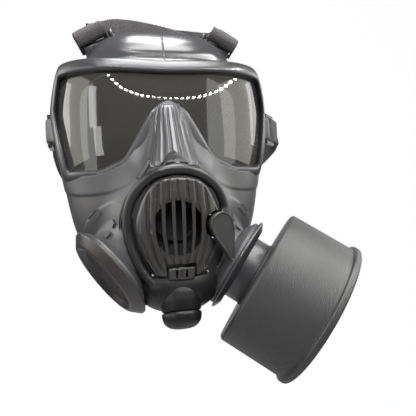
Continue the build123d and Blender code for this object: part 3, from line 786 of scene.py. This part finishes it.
def module_cover():
    """The ribbed cover, slotted over the voice window."""
    rows, cols = 190, 190
    zs = np.linspace(-76.8, -8.15, rows)
    width = np.interp(zs, [-77, -70, -60, -45, -30, -8], [14.0, 17.5, 23.5, 28.5, 28.5, 26.0])
    edge = half_width(cover_loop, zs)
    r = np.linspace(-29, 29, cols)
    x = r[None, :] * width[:, None] / 28.5
    x = np.clip(x, -edge[:, None], edge[:, None])
    z = np.repeat(zs[:, None], cols, axis=1)
    across = np.tile(r, rows) + 1
    xz = np.stack([x.ravel(), z.ravel()], axis=1)
    inside = np.maximum(-signed_distance(xz, cover_loop), 0)
    rise = 5.2 * np.sqrt(1 - (1 - np.clip(inside / 3.2, 0, 1)) ** 2)
    off = np.abs(across / 6.5 - np.round(across / 6.5)) * 6.5
    zf, xf = z.ravel(), x.ravel()
    near = smoothstep(20.5, 18.5, np.hypot((xf + 1) * 1.08, zf + 42))
    groove = smoothstep(1.15 + 1.1 * near, 0.55 + 1.1 * near, off) * smoothstep(2.0, 4.0, inside)
    groove *= smoothstep(-72, -67, zf)
    rise = rise - 1.5 * groove - 0.35 * smoothstep(1.0, 2.6, np.abs(off - 3.25)) * (1 - groove)
    slots = (off < 1.85) & (np.hypot((xf + 1) * 1.08, zf + 42) < 18.0) & (np.abs(across) < 16)
    slots |= (np.abs(xf) < 9.8) & (zf < -65.3)
    p = columns(xf, barrel(xf, zf, rise), zf)
    hub = np.array([26.5, -87, -41])
    lever_n = np.array([0.26, -0.966, 0])
    rad = from_axis(p, hub, lever_n)[1]
    gone = slots | (rad < 9.4)
    ob = mesh_object("module_cover", p, grid_faces(rows, cols, keep=~gone))
    shell_of(ob, 0.0021, COVER_MAT, 2e-5, 50)
    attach(ob, "mask")
    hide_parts("front_module_cover")


module_cover()


def latch_tongue():
    """The cover's spring tongue, with its three slits."""
    xs = np.linspace(-8.8, 8.8, 90)
    zs = np.linspace(-76.2, -68.1, 50)
    x, z = [a.ravel() for a in np.meshgrid(xs, zs)]
    rise = 4.9 - 0.8 * smoothstep(0.9, 0.0, np.minimum(8.8 - np.abs(x), np.minimum(z + 76.2, -68.1 - z)))
    gone = (np.abs(np.abs(x) - 3.2) < 0.7) & (z < -68.8) & (z > -75.0)
    rise -= 0.8 * smoothstep(0.9, 0.5, np.abs(x)) * (z < -69) * (z > -74.5)
    p = columns(x, barrel(x, z, rise), z)
    ob = mesh_object("latch_tongue", p, grid_faces(50, 90, keep=~gone))
    shell_of(ob, 0.002, COVER_MAT, None, 50)
    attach(ob, "latch")
    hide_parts("cover_latch")


latch_tongue()
for s in (-1, 1):
    block(f"cover_pin_{'lr'[s < 0]}", (s * 18.6, barrel(18.6, -72.6, 1.2), -72.6), ((1, 0, 0), (0, 1, 0), (0, 0, 1)),
          (1.5, 2.4, 1.1), "mask", MARK, 0.25)

hose_path = [(x, barrel(x, z, 1.2), z) for x, z in spline(HOSE, 14)]
hose = tube("drink_hose", hose_path, 3.4, "mask", HOSE_MAT, 28)
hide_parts("drink_tube")

# ---- inlets, blanking cap, adapter, canister
for side, (axis, flange) in zip("lr", INLETS):
    ob = lathe(f"inlet_flange_{side}", rounded([(13.5, -14), (15.5, -14), (15.5, -8), (27, -8), (34, -3),
            (34, -0.4), (13.5, -0.4)], 1.0), flange, axis, "mask", RUBBER, 128)
    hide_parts(f"inlet_housing_{side}")

blank = lathe("blanking_dish", rounded([(0.01, -0.3), (36.5, -0.3), (36.5, 1.2), (30, 6.4), (27, 6.4), (23, 2.6),
        (0.01, 1.8)], 0.9), FLANGE_R, AXIS_R, "blanking_cap", CAP_BLACK, 192)
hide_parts("blanking_cap")
adapter = lathe("adapter_ring", rounded([(13.5, -0.4), (36.5, -0.4), (36.5, 1.4), (31, 4.2), (24.5, 4.2),
        (24.5, 15), (20.06, 15), (20.06, 3), (13.5, 3)], 0.8), FLANGE_L, AXIS_L, "mask", RIM_MAT,
        192)
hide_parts("adapter_flange")

FAR = 70.9
shell = lathe("canister_can", rounded([(16, 4), (20, 4), (20, 16.5), (51.2, 16.5), (53, 18.3), (53, FAR - 5.2),
        (54.8, FAR - 4.9), (55.5, FAR - 4), (55.5, FAR - 1), (54.6, FAR), (50.2, FAR), (49.2, FAR - 1.2),
        (19, FAR - 1.2), (18.3, FAR + 1.6), (14, FAR + 1.6), (14, FAR - 2.4), (51.6, FAR - 2.4),
        (51.6, 18.4), (16, 18.4)], 0.7), FLANGE_L, AXIS_L, "canister", CANISTER, 256)
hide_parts("canister_shell", "canister_lid")


def module_plate():
    """The module's plate: lip, hose groove, brow notches and chin panels."""
    rows, cols = 250, 210
    zs = np.linspace(-91.85, 7.9, rows)
    edge = half_width(surround_loop, zs)
    u = np.linspace(-1, 1, cols)
    x = u[None, :] * edge[:, None]
    z = np.repeat(zs[:, None], cols, axis=1)
    x, z = x.ravel(), z.ravel()
    xz = np.stack([x, z], axis=1)
    inside = np.maximum(-signed_distance(xz, surround_loop), 0)
    hose_line = spline(HOSE, 8)
    closed = np.vstack([hose_line, hose_line[::-1]])
    to_hose = np.abs(signed_distance(xz, closed))
    rise = 0.9 - 3.2 * smoothstep(1.6, 0.0, inside)
    rise -= 2.2 * smoothstep(4.3, 2.6, to_hose)
    rise += 0.5 * np.exp(-(((to_hose - 4.9) / 0.7) ** 2))
    low = smoothstep(-77.5, -79.5, z)
    panel = np.abs(np.abs(x) - 9.5)
    rise -= low * 0.9 * smoothstep(0.9, 0.4, panel)
    for cx in (-9, 0, 9):
        cz = 1.5 - abs(cx) * 0.12
        hole = np.maximum(np.abs(x - cx) - 1.5, np.abs(z - cz) - 1.1)
        rise -= 2.0 * smoothstep(0.35, -0.25, hole)
    cover = signed_distance(xz, cover_loop)
    p = columns(x, barrel(x, z, rise), z)
    gone = cover < -1.0
    for axis, flange in INLETS:
        h, rad = from_axis(p, flange, axis)
        gone |= (rad < 19.2) & (h < -6)
    ob = mesh_object("module_plate", p, grid_faces(rows, cols, keep=~gone))
    shell_of(ob, 0.0022, MODULE, 2e-5, 50)
    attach(ob, "mask")


module_plate()

LEVER_HUB = np.array([26.5, -87.0, -41.0])
LEVER_X = unit((0.966, 0.26, 0))
LEVER_N = unit((0.26, -0.966, 0))


def lever_blade():
    """Teardrop with a rounded edge and a raised border."""
    d = math.hypot(6.3, 22.6)
    turn = math.atan2(-22.6, 6.3)
    loop = [(8.6 * math.cos(turn + a), 8.6 * math.sin(turn + a))
            for a in np.linspace(math.radians(70), math.radians(290), 70)]
    along, side = np.array([math.cos(turn), math.sin(turn)]), np.array([-math.sin(turn), math.cos(turn)])
    half = [(4.5, 8.25), (8, 7.35), (12, 5.9), (16, 4.3), (20, 2.9), (23, 2.1)]
    loop += [tuple(along * t - side * w) for t, w in half]
    loop += [tuple(along * (d + 2.0 * math.cos(a)) + side * 2.0 * math.sin(a)) for a in np.linspace(-1.2, 1.2, 12)]
    loop += [tuple(along * t + side * w) for t, w in half[::-1]]
    loop = resample(loop, 120, 2)
    centre = np.array([2.0, -7.0])
    tan = row_unit(np.roll(loop, -1, axis=0) - np.roll(loop, 1, axis=0))
    normal = np.stack([tan[:, 1], -tan[:, 0]], axis=1)
    if np.sum(normal * (loop - centre)) < 0:
        normal = -normal
    rings = [(-0.5, 0.0), (0.0, 0.5), (0.0, 2.9), (-0.3, 3.8), (-0.8, 4.2), (-1.3, 3.9), (-1.7, 3.45)]
    verts = []
    for inset, h in rings:
        for q, n in zip(loop, normal):
            s = q + n * inset
            verts.append(LEVER_HUB + LEVER_X * s[0] + np.array([0, 0, 1]) * s[1] + LEVER_N * h)
    ob = mesh_object("lever_blade", verts, capped(len(rings), 120))
    clean(ob)
    auto_smooth(ob, 40)
    use(ob, LEVER_MAT)
    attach(ob, "lever")
    return ob


blade = lever_blade()
lathe("lever_shaft", [(0.01, -42), (2.5, -42), (2.5, 1), (0.01, 1)], LEVER_HUB, LEVER_N, "lever",
      LEVER_MAT, 32)
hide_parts("drink_lever")

plug_axis = unit((0, -0.30, -0.954))
cap_start = np.array([0, -70, -90]) + 8.4 * plug_axis
# the coupling cap in the near-black underside colour: painted shade
bulb = lathe("coupling_bulb", [(0.01, 8.4), (4.6, 8.4), (4.6, 2.1), (13.0, 2.1), (13.6, 2.7), (13.6, 4.5), (13.35, 6),
        (12.9, 7.5), (12.1, 9), (11, 10.3), (9.6, 11.4), (8, 12.2), (6, 12.75), (4, 13.05), (2, 13.18),
        (0.01, 13.2)], cap_start, plug_axis, "coupling_cap", UNDERSIDE_SHADE, 96, 45)
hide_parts("coupling_cap")


def chin():
    """The rubber chin under the module."""
    turn, climb = np.linspace(0, 2 * math.pi, 140, endpoint=False), np.linspace(-0.5 * math.pi, 0.5 * math.pi, 90)
    u, v = [a.ravel() for a in np.meshgrid(turn, climb)]
    cu, su = np.cos(u), np.sin(u)
    p = columns(31 * np.cos(v) * np.sign(cu) * np.abs(cu) ** 0.85, -57 + 26 * np.cos(v) * su, -82 + 21.0 * np.sin(v))
    keep = mask_form(p) > -2.2
    keep &= p[:, 2] < -74
    ob = mesh_object("chin", p, grid_faces(90, 140, wrap=True, keep=keep))
    # the chin in the near-black underside colour: painted shade
    shell_of(ob, 0.0016, UNDERSIDE_SHADE, 2e-5)
    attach(ob, "mask")


chin()
# the collar in the near-black underside colour: painted shade
collar = lathe("coupling_collar", rounded([(0.01, -9), (14.5, -9), (15.5, -2), (15.0, 3), (13.9, 7.6), (13.2, 9.6),
        (12, 10.2), (4.5, 10.3), (4.5, 16), (0.01, 16)], 1.2), (0, -70, -90), plug_axis, "mask", UNDERSIDE_SHADE,
        96, 45)
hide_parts("drink_coupling")

# ---- moulded marks on the cheeks
for s in (1, -1):
    for i, (mx, mz) in enumerate([(42.7, -38), (46.5, -45.8)]):
        p, n = form_at(s * mx, mz)
        u = unit(np.cross(n, (0, 0, 1)))
        v = np.cross(u, n)
        tilt = math.radians(-30 * s)
        a = math.cos(tilt) * u + math.sin(tilt) * v
        b = -math.sin(tilt) * u + math.cos(tilt) * v
        block(f"cheek_block_{'lr'[s < 0]}{i}", p + n * 1.0, (a, b, n), (5.0, 3.8, 2.6), "mask", RUBBER,
              0.55)
    corners = [(54.3, -27.0), (60.2, -33.0), (57.0, -36.2), (51.1, -30.2)]
    for i in range(4):
        (ax, az), (bx, bz) = corners[i], corners[(i + 1) % 4]
        p, n = form_at(s * ax, az)
        q, _ = form_at(s * bx, bz)
        run = q - p
        along = run / np.linalg.norm(run)
        if i == 1:
            continue
        block(f"cheek_frame_{'lr'[s < 0]}{i}", (p + q) / 2 + n * 0.45, (along, np.cross(n, along), n),
              (float(np.linalg.norm(run)) + 0.7, 0.8, 1.3), "mask", RUBBER, 0.2)
    p, n = form_at(s * 60, -7)
    u = unit(np.cross(n, (0, 0, 1)))
    block(f"cheek_slot_{'lr'[s < 0]}", p + n * 0.1, (u, np.cross(u, n), n), (9, 1.1, 1.2), "mask", RUBBER)

# ---- harness
TOP_BAR = np.array([52, -2, 108.5])
TOP_DIR = np.array([0.866, 0, -0.5])
TOP_OUT = unit((0.4, -0.6, 0.693))
UP = np.array([0, 0, 1.0])


def flipped(v):
    return np.array(v, float) * np.array([-1, 1, 1])


TOPS = (("l", TOP_BAR, TOP_DIR, TOP_OUT), ("r", flipped(TOP_BAR), flipped(TOP_DIR), flipped(TOP_OUT)))


def tab(name, bar, along, inward, length, width=20.0):
    """Rubber tab from the buckle's bar into the skin."""
    bar, along, inward = np.array(bar, float), unit(along), unit(inward)
    path = [bar - inward * 3.1 + inward * t for t in np.linspace(0, length + 3.1, 14)]

    def shape(t):
        d = t * (length + 3.1)
        end = math.sqrt(max(0.02, 1 - (1 - min(1, d / 3.2)) ** 2))
        return (1.0 + 0.12 * smoothstep(0.4, 1.0, t), end * (6.4 - 1.2 * float(smoothstep(4, 8, d))) / 6.4)
    return sweep(name, path, along, width, 6.4, "mask", RUBBER, power=5, around=40, taper=shape)


tab("tab_top_l", TOP_BAR, TOP_DIR, (-0.35, 0.25, -0.9), 10)
tab("tab_top_r", flipped(TOP_BAR), flipped(TOP_DIR), (0.35, 0.25, -0.9), 10)


def ear(name, bar, along, out, inner):
    """Rubber lobe beside the buckle, on the dome's side."""
    a, out = unit(along), unit(out)
    foot = bar + a * inner
    path = spline([foot - out * 12, foot - out * 5, foot + out * 1, foot + out * 6.5], 8)

    def shape(t):
        return (1.25 - 0.45 * t) * math.sqrt(max(0.03, 1 - max(0, (t - 0.75) / 0.25) ** 2)), 1.0 - 0.2 * t
    return sweep(name, path, np.cross(a, out), 12, 4.2, "mask", RUBBER, power=2.6, around=36,
            taper=shape)


for side, bar, along, out in TOPS:
    ear(f"ear_{side}", bar, along, out, -16.2)
tab("tab_temple_l", (96, 6, 40.5), UP, (-0.9, -0.43, 0), 12.5)
tab("tab_temple_r", (-93, 11, 40.5), UP, (0.62, -0.78, 0), 13)
tab("tab_neck_l", (64.5, 23, -60), unit((0.22, 0, 0.97)), (0, -1, 0), 13)
tab("tab_neck_r", (-64.5, 23, -60), unit((-0.22, 0, 0.97)), (0, -1, 0), 13)


def coil(name, centre, along, width, r0, r1, turns, thick, start, body, mat):
    """Webbing rolled up on itself."""
    u, v, _ = frame_of(along, (0, 1, 0))
    pts = []
    for t in np.linspace(0, 1, int(turns * 30) + 1):
        a = start + 2 * math.pi * turns * t
        pts.append(centre + (r0 + (r1 - r0) * t) * (math.cos(a) * u + math.sin(a) * v))
    return sweep(name, pts, along, width, thick, body, mat, power=8, around=20)


for side, bar, along, out in TOPS:
    c = bar + out * 9.6
    ob = coil(f"roll_top_{side}", c, along, 24.6, 2.4, 6.1, 2.3, 1.5, 0.4, f"buckle_top_{side}", WEBBING)
    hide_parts(f"strap_loop_top_{side}")
    a = unit(along)
    ob = tube(f"top_bar_{side}", [bar - a * 11, bar, bar + a * 11], 1.5, f"buckle_top_{side}", BUCKLE,
            20)
    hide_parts(f"buckle_top_{side}")
    tube(f"top_outer_bar_{side}", [c - a * 11, c, c + a * 11], 1.5, f"buckle_top_{side}", BUCKLE,
         20)
    for s in (-1, 1):
        block(f"top_cheek_{side}{'ab'[s > 0]}", bar + out * 4.8 + a * s * 11.3, (a, np.cross(out, a), out),
              (1.9, 3.0, 12.6), f"buckle_top_{side}", BUCKLE, 0.5)
    # the webbing's cut end, frayed on the wearer's right
    over = unit(np.cross(out, a)) * (-1 if side == "r" else 1)
    if over[2] < 0:
        over = -over
    flap = [q + a * 2.4 for q in (c - out * 2 + over * 6.3, c + out * 1.5 + over * 6.7, c + out * 5 + over * 5.2)]
    sweep(f"cut_end_{side}", spline(flap, 6), a, 19, 1.7 if side == "l" else 2.8, f"buckle_top_{side}",
          WEBBING if side == "l" else COARSE, 5, 24)

for part, bar, along, out, reach, tail in (
        ("temple_l", (96, 6, 40.5), UP, unit((0.62, 0.78, 0)), 16.0, 13),
        ("temple_r", (-93, 11, 40.5), UP, unit((-0.08, 0.997, 0)), 16.0, 13),
        ("neck_l", (64.5, 23, -60), unit((0.22, 0, 0.97)), np.array([0, 1.0, 0]), 12, 9),
        ("neck_r", (-64.5, 23, -60), unit((-0.22, 0, 0.97)), np.array([0, 1.0, 0]), 12, 9)):
    c = np.array(bar, float) + out * reach
    side_dir = np.cross(along, out)
    arc = [c + 2.45 * (math.cos(a) * -out + math.sin(a) * side_dir) for a in np.linspace(-1.9, 1.9, 20)]
    pts = [c + out * tail - side_dir * 0.95] + arc + [c + out * tail + side_dir * 0.95]
    ob = sweep(f"loop_{part}", spline(pts, 4), along, 21, 1.7, f"buckle_{part}", WEBBING, 8, 20)
    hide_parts(f"strap_loop_{part}")


def strap(name, node, points, width):
    path = spline(points, 14)
    ob = sweep(name, path, (0, 0, 1), width, 1.8, "mask", WEBBING, 8, 24)
    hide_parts(node)
    return path


TEMPLE_L = [(115.6, 31.7, 40.5), (116.5, 34.4, 40), (114, 46, 33), (103, 63, 20), (88, 77, 7), (75, 85, -1),
        (67, 87.2, -4), (60.05, 87.2, -4)]
TEMPLE_R = [(-95.4, 40.8, 40.5), (-95.7, 45, 40), (-95, 56, 33), (-91, 68, 20), (-83, 78, 7), (-74, 85, -1),
        (-67, 87.2, -4), (-60.05, 87.2, -4)]
NECK = [(64.6, 45.3, -60), (64.7, 50, -59.5), (66.5, 59, -53), (69, 68, -44), (70, 75, -36), (67, 80.3, -30.5),
        (60.05, 80.3, -30.5)]
for name, points in (("temple_strap_l", TEMPLE_L), ("temple_strap_r", TEMPLE_R), ("neck_strap_l", NECK),
        ("neck_strap_r", [tuple(flipped(p)) for p in NECK])):
    strap(f"{name}_web", name, points, 22)

BAND = [(-57, 2, 118), (-53, 11, 122), (-44, 16.9, 128), (-34, 17.2, 130.5), (-14, 17.2, 129), (12, 17.2, 124),
        (34, 17.2, 117), (46, 17.0, 115.6), (54, 11, 115.6), (57.5, 2, 116.5)]
band_path = strap("brow_strap", "brow_band", BAND, 20)
# stitching along the band's lower edge
for i in range(24, len(band_path) - 30, 3):
    p = band_path[i] + np.array([0, -1.0, -8.4])
    t = unit(band_path[i + 1] - band_path[i])
    block(f"stitch_{i}", p, (t, UP, (0, 1, 0)), (2.2, 0.6, 0.5), "mask", MARK, 0.12)


def head_cap():
    """Soft cap: a curved panel with easy folds and a turned hem."""
    line = spline([(0, y, z) for y, z in [(18.9, 127.6), (32, 138), (50, 141), (72, 130), (88, 105), (94, 70),
            (93, 30), (87, -5), (76, -45)]], 22)
    run = run_length(line)
    tan = row_unit(np.gradient(line, axis=0))
    nrm = np.cross(tan, (1, 0, 0))
    if nrm[len(nrm) // 2, 1] < 0:
        nrm = -nrm
    cols = 90
    xs = np.linspace(-60, 60, cols)
    rng = np.random.default_rng(4)
    waves = [(rng.uniform(0.03, 0.09), rng.uniform(0.02, 0.07), rng.uniform(0, 6.28)) for _ in range(6)]
    verts = []
    for i, p in enumerate(line):
        for x in xs:
            w = sum(math.sin(a * x + b * run[i] + c) for a, b, c in waves) * 0.32
            w *= float(smoothstep(0, 14, run[i]) * smoothstep(0, 14, run[-1] - run[i])) * min(1, (60 - abs(x)) / 14)
            verts.append(p + np.array([x, 0, 0]) + nrm[i] * w)
    ob = mesh_object("cap_panel", verts, grid_faces(len(line), cols))
    strip_uv(ob, xs / 1000, run)
    modifier(ob, "SOLIDIFY", thickness=0.0016, offset=0)
    apply_all(ob)
    use(ob, FABRIC)
    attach(ob, "mask")
    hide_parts("head_cap")
    for s in (-1, 1):
        sweep(f"cap_hem_{'lr'[s < 0]}", line[2:-2] + np.array([s * 57.5, 0, 0]) + nrm[2:-2] * 0.2,
                (1, 0, 0), 5.5, 2.8, "mask", WEBBING, 5, 16)


head_cap()

# ---- finishes of the CAD pieces that show as they are
FINISH = {
    # the face seal takes the pale inner material: painted reflection
    "face_seal": INSIDE_PAINTED_LIGHT, "front_module_body": INNER, "module_gasket": GASKET, "voicemitter_ring": INNER,
    "voicemitter_diaphragm": INNER, "outlet_valve_seat": INNER, "outlet_valve_disc": INNER,
    "internal_drink_tube": INNER, "nosecup": SOFT, "canister_gasket": GASKET, "sorbent_bed": CARBON,
    "particulate_filter": PAPER, "grille_inner": STEEL, "grille_middle": STEEL,
}
for key, node in nodes.items():
    if key in FINISH:
        mat = FINISH[key]
    elif "strap" in key:
        mat = WEBBING
    elif key.startswith("buckle"):
        mat = BUCKLE
    elif "valve_disc" in key:
        mat = SILICONE
    elif "housing" in key or "nut" in key or "seat" in key:
        mat = INNER
    else:
        mat = MODULE
    node.data.materials.clear()
    node.data.materials.append(mat)

# ---- camera, as the photo was taken
yaw, roll = math.radians(11.8), math.radians(-2.7)
Rz = np.array([[math.cos(yaw), -math.sin(yaw), 0], [math.sin(yaw), math.cos(yaw), 0], [0, 0, 1]])
Ry = np.array([[math.cos(roll), 0, math.sin(roll)], [0, 1, 0], [-math.sin(roll), 0, math.cos(roll)]])
TURN = Ry @ Rz
EYE = -TURN.T @ np.array([-37.6, 350.0, 28.0])
FOCAL = 408.0


def pixel_ray(px, py):
    d = np.array([(px - 208) / FOCAL, 1.0, -(py - 208) / FOCAL])
    return TURN.T @ (d / np.linalg.norm(d))


cam_data = bpy.data.cameras.new("camera")
cam = in_scene("camera", cam_data)
bpy.context.scene.camera = cam
cam_data.sensor_width = 36
cam_data.lens = 36 * FOCAL / 416
right, forward, up = TURN[0], TURN[1], TURN[2]
cam.matrix_world = Matrix([[right[i], up[i], -forward[i], EYE[i] / 1000] for i in range(3)] + [[0, 0, 0, 1]])

# ---- stage: backdrop, floor, lights
def stage_material(name, grey, **values):
    mat = bpy.data.materials.new(name)
    mat.use_nodes = True
    sockets = mat.node_tree.nodes["Principled BSDF"].inputs
    sockets["Base Color"].default_value = (grey, grey, grey, 1)
    for key, value in values.items():
        sockets[key.replace("_", " ")].default_value = value
    return mat


def ball(name, radius, subdivisions, mat):
    bm = bmesh.new()
    bmesh.ops.create_icosphere(bm, subdivisions=subdivisions, radius=radius)
    me = bpy.data.meshes.new(name)
    bm.to_mesh(me)
    bm.free()
    ob = in_scene(name, me)
    me.materials.append(mat)
    return ob


paper = stage_material("studio_paper", 0.9, Roughness=0.9, Emission_Color=(1, 1, 1, 1), Emission_Strength=0.9)


def plane(name, corners, mat):
    me = bpy.data.meshes.new(name)
    me.from_pydata(corners, [], [(0, 1, 2, 3)])
    ob = in_scene(name, me)
    ob.data.materials.append(mat)
    return ob


def behind(px, py, y=6.0):
    d = pixel_ray(px, py)
    return tuple(float(c) for c in (EYE / 1000 + d * (y - EYE[1] / 1000) / d[1]))


plane("backdrop", [behind(-30, 446), behind(446, 446), behind(446, -30), behind(-30, -30)], paper)
# a pale studio all round for the other views; it lights nothing
room = ball("studio_shell", 9, 4, paper)
room.visible_diffuse = room.visible_glossy = room.visible_transmission = room.visible_shadow = False
ground = stage_material("studio_floor", 0.85, Roughness=0.9)
plane("floor", [(-3, -3, -1.1), (3, -3, -1.1), (3, 1.4, -1.1), (-3, 1.4, -1.1)], ground)


def area_light(name, at, target, size, power, size_y=None):
    ld = bpy.data.lights.new(name, "AREA")
    ld.shape = "RECTANGLE"
    ld.size = size
    ld.size_y = size_y or size
    ld.energy = power
    ob = in_scene(name, ld)
    ob.location = at
    ob.rotation_euler = (Vector(target) - Vector(at)).to_track_quat("-Z", "Y").to_euler()
    return ob


area_light("key_overhead", (0.02, 0.02, 0.8), (0, -0.03, 0.06), 0.34, 5.5, 0.26)
area_light("side_left", (-0.95, 0.3, 0.3), (0, 0, 0), 0.5, 2.6, 0.5)
area_light("side_right", (0.95, 0.3, 0.3), (0.05, 0, 0), 0.5, 2.6, 0.5)
area_light("front_high", (0.05, -0.42, 1.2), (0, -0.05, 0), 0.9, 15, 0.35)

world = bpy.data.worlds.new("studio")
world.use_nodes = True
world.node_tree.nodes["Background"].inputs["Color"].default_value = (0.9, 0.93, 1.0, 1)
world.node_tree.nodes["Background"].inputs["Strength"].default_value = 0.09
bpy.context.scene.world = world
bpy.context.scene.view_settings.view_transform = "Standard"

# a string of small lamps in front, seen only as its reflection in the lens
lamp_mat = stage_material("lamp", 1, Emission_Color=(1, 1, 0.97, 1), Emission_Strength=110)


def lens_mirror(px, py):
    """Where the ray through a pixel of the photo goes after the lens reflects it."""
    d = pixel_ray(px, py)[None, :]
    p = EYE[None, :] + d * 200.0
    for _ in range(80):
        p = p + d * 0.8 * np.clip(distance_to(goggle, p), -2, 20)[:, None]
    n = normals(goggle, p)
    r = d - 2 * np.sum(d * n, axis=1, keepdims=True) * n
    return p[0], r[0]


row = spline([(108, 75, 0), (121, 87, 0), (140, 94.5, 0), (160, 97.5, 0), (181, 98, 0), (202, 96, 0),
        (221, 89, 0), (235, 78, 0)], 30)
run = run_length(row)
for i, s in enumerate(np.linspace(0, run[-1], 25)):
    px, py = np.interp(s, run, row[:, 0]), np.interp(s, run, row[:, 1])
    p, r = lens_mirror(px, py)
    q, rq = lens_mirror(px + 1.4, py)
    at = (p + r * 600) / 1000
    size = np.linalg.norm((q + rq * 600) / 1000 - at)
    ob = ball(f"lamp_{i}", float(size) * 1.15, 2, lamp_mat)
    ob.location = at
    ob.visible_camera = False
    ob.visible_diffuse = False

# two pale cards whose reflection lightens the outer thirds of the lens
for i, (px, py, watts) in enumerate([(71, 112, 6.5), (241, 112, 6.5)]):
    p, r = lens_mirror(px, py)
    card = area_light(f"card_{i}", tuple((p + r * 900) / 1000), tuple(p / 1000), 1.0, watts, 0.95)
    card.data.color = (1.0, 0.96, 0.88)
    card.visible_diffuse = False
fill = area_light("front_fill", (0.1, -0.95, 0.5), (0, 0, 0), 0.6, 16, 0.5)
fill.visible_glossy = False
for i, (px, py) in enumerate([(92, 97), (98, 143)]):
    p, r = lens_mirror(px, py)
    area_light(f"window_{i}", tuple((p + r * 900) / 1000), tuple(p / 1000), 0.16, 0.8, 0.34)
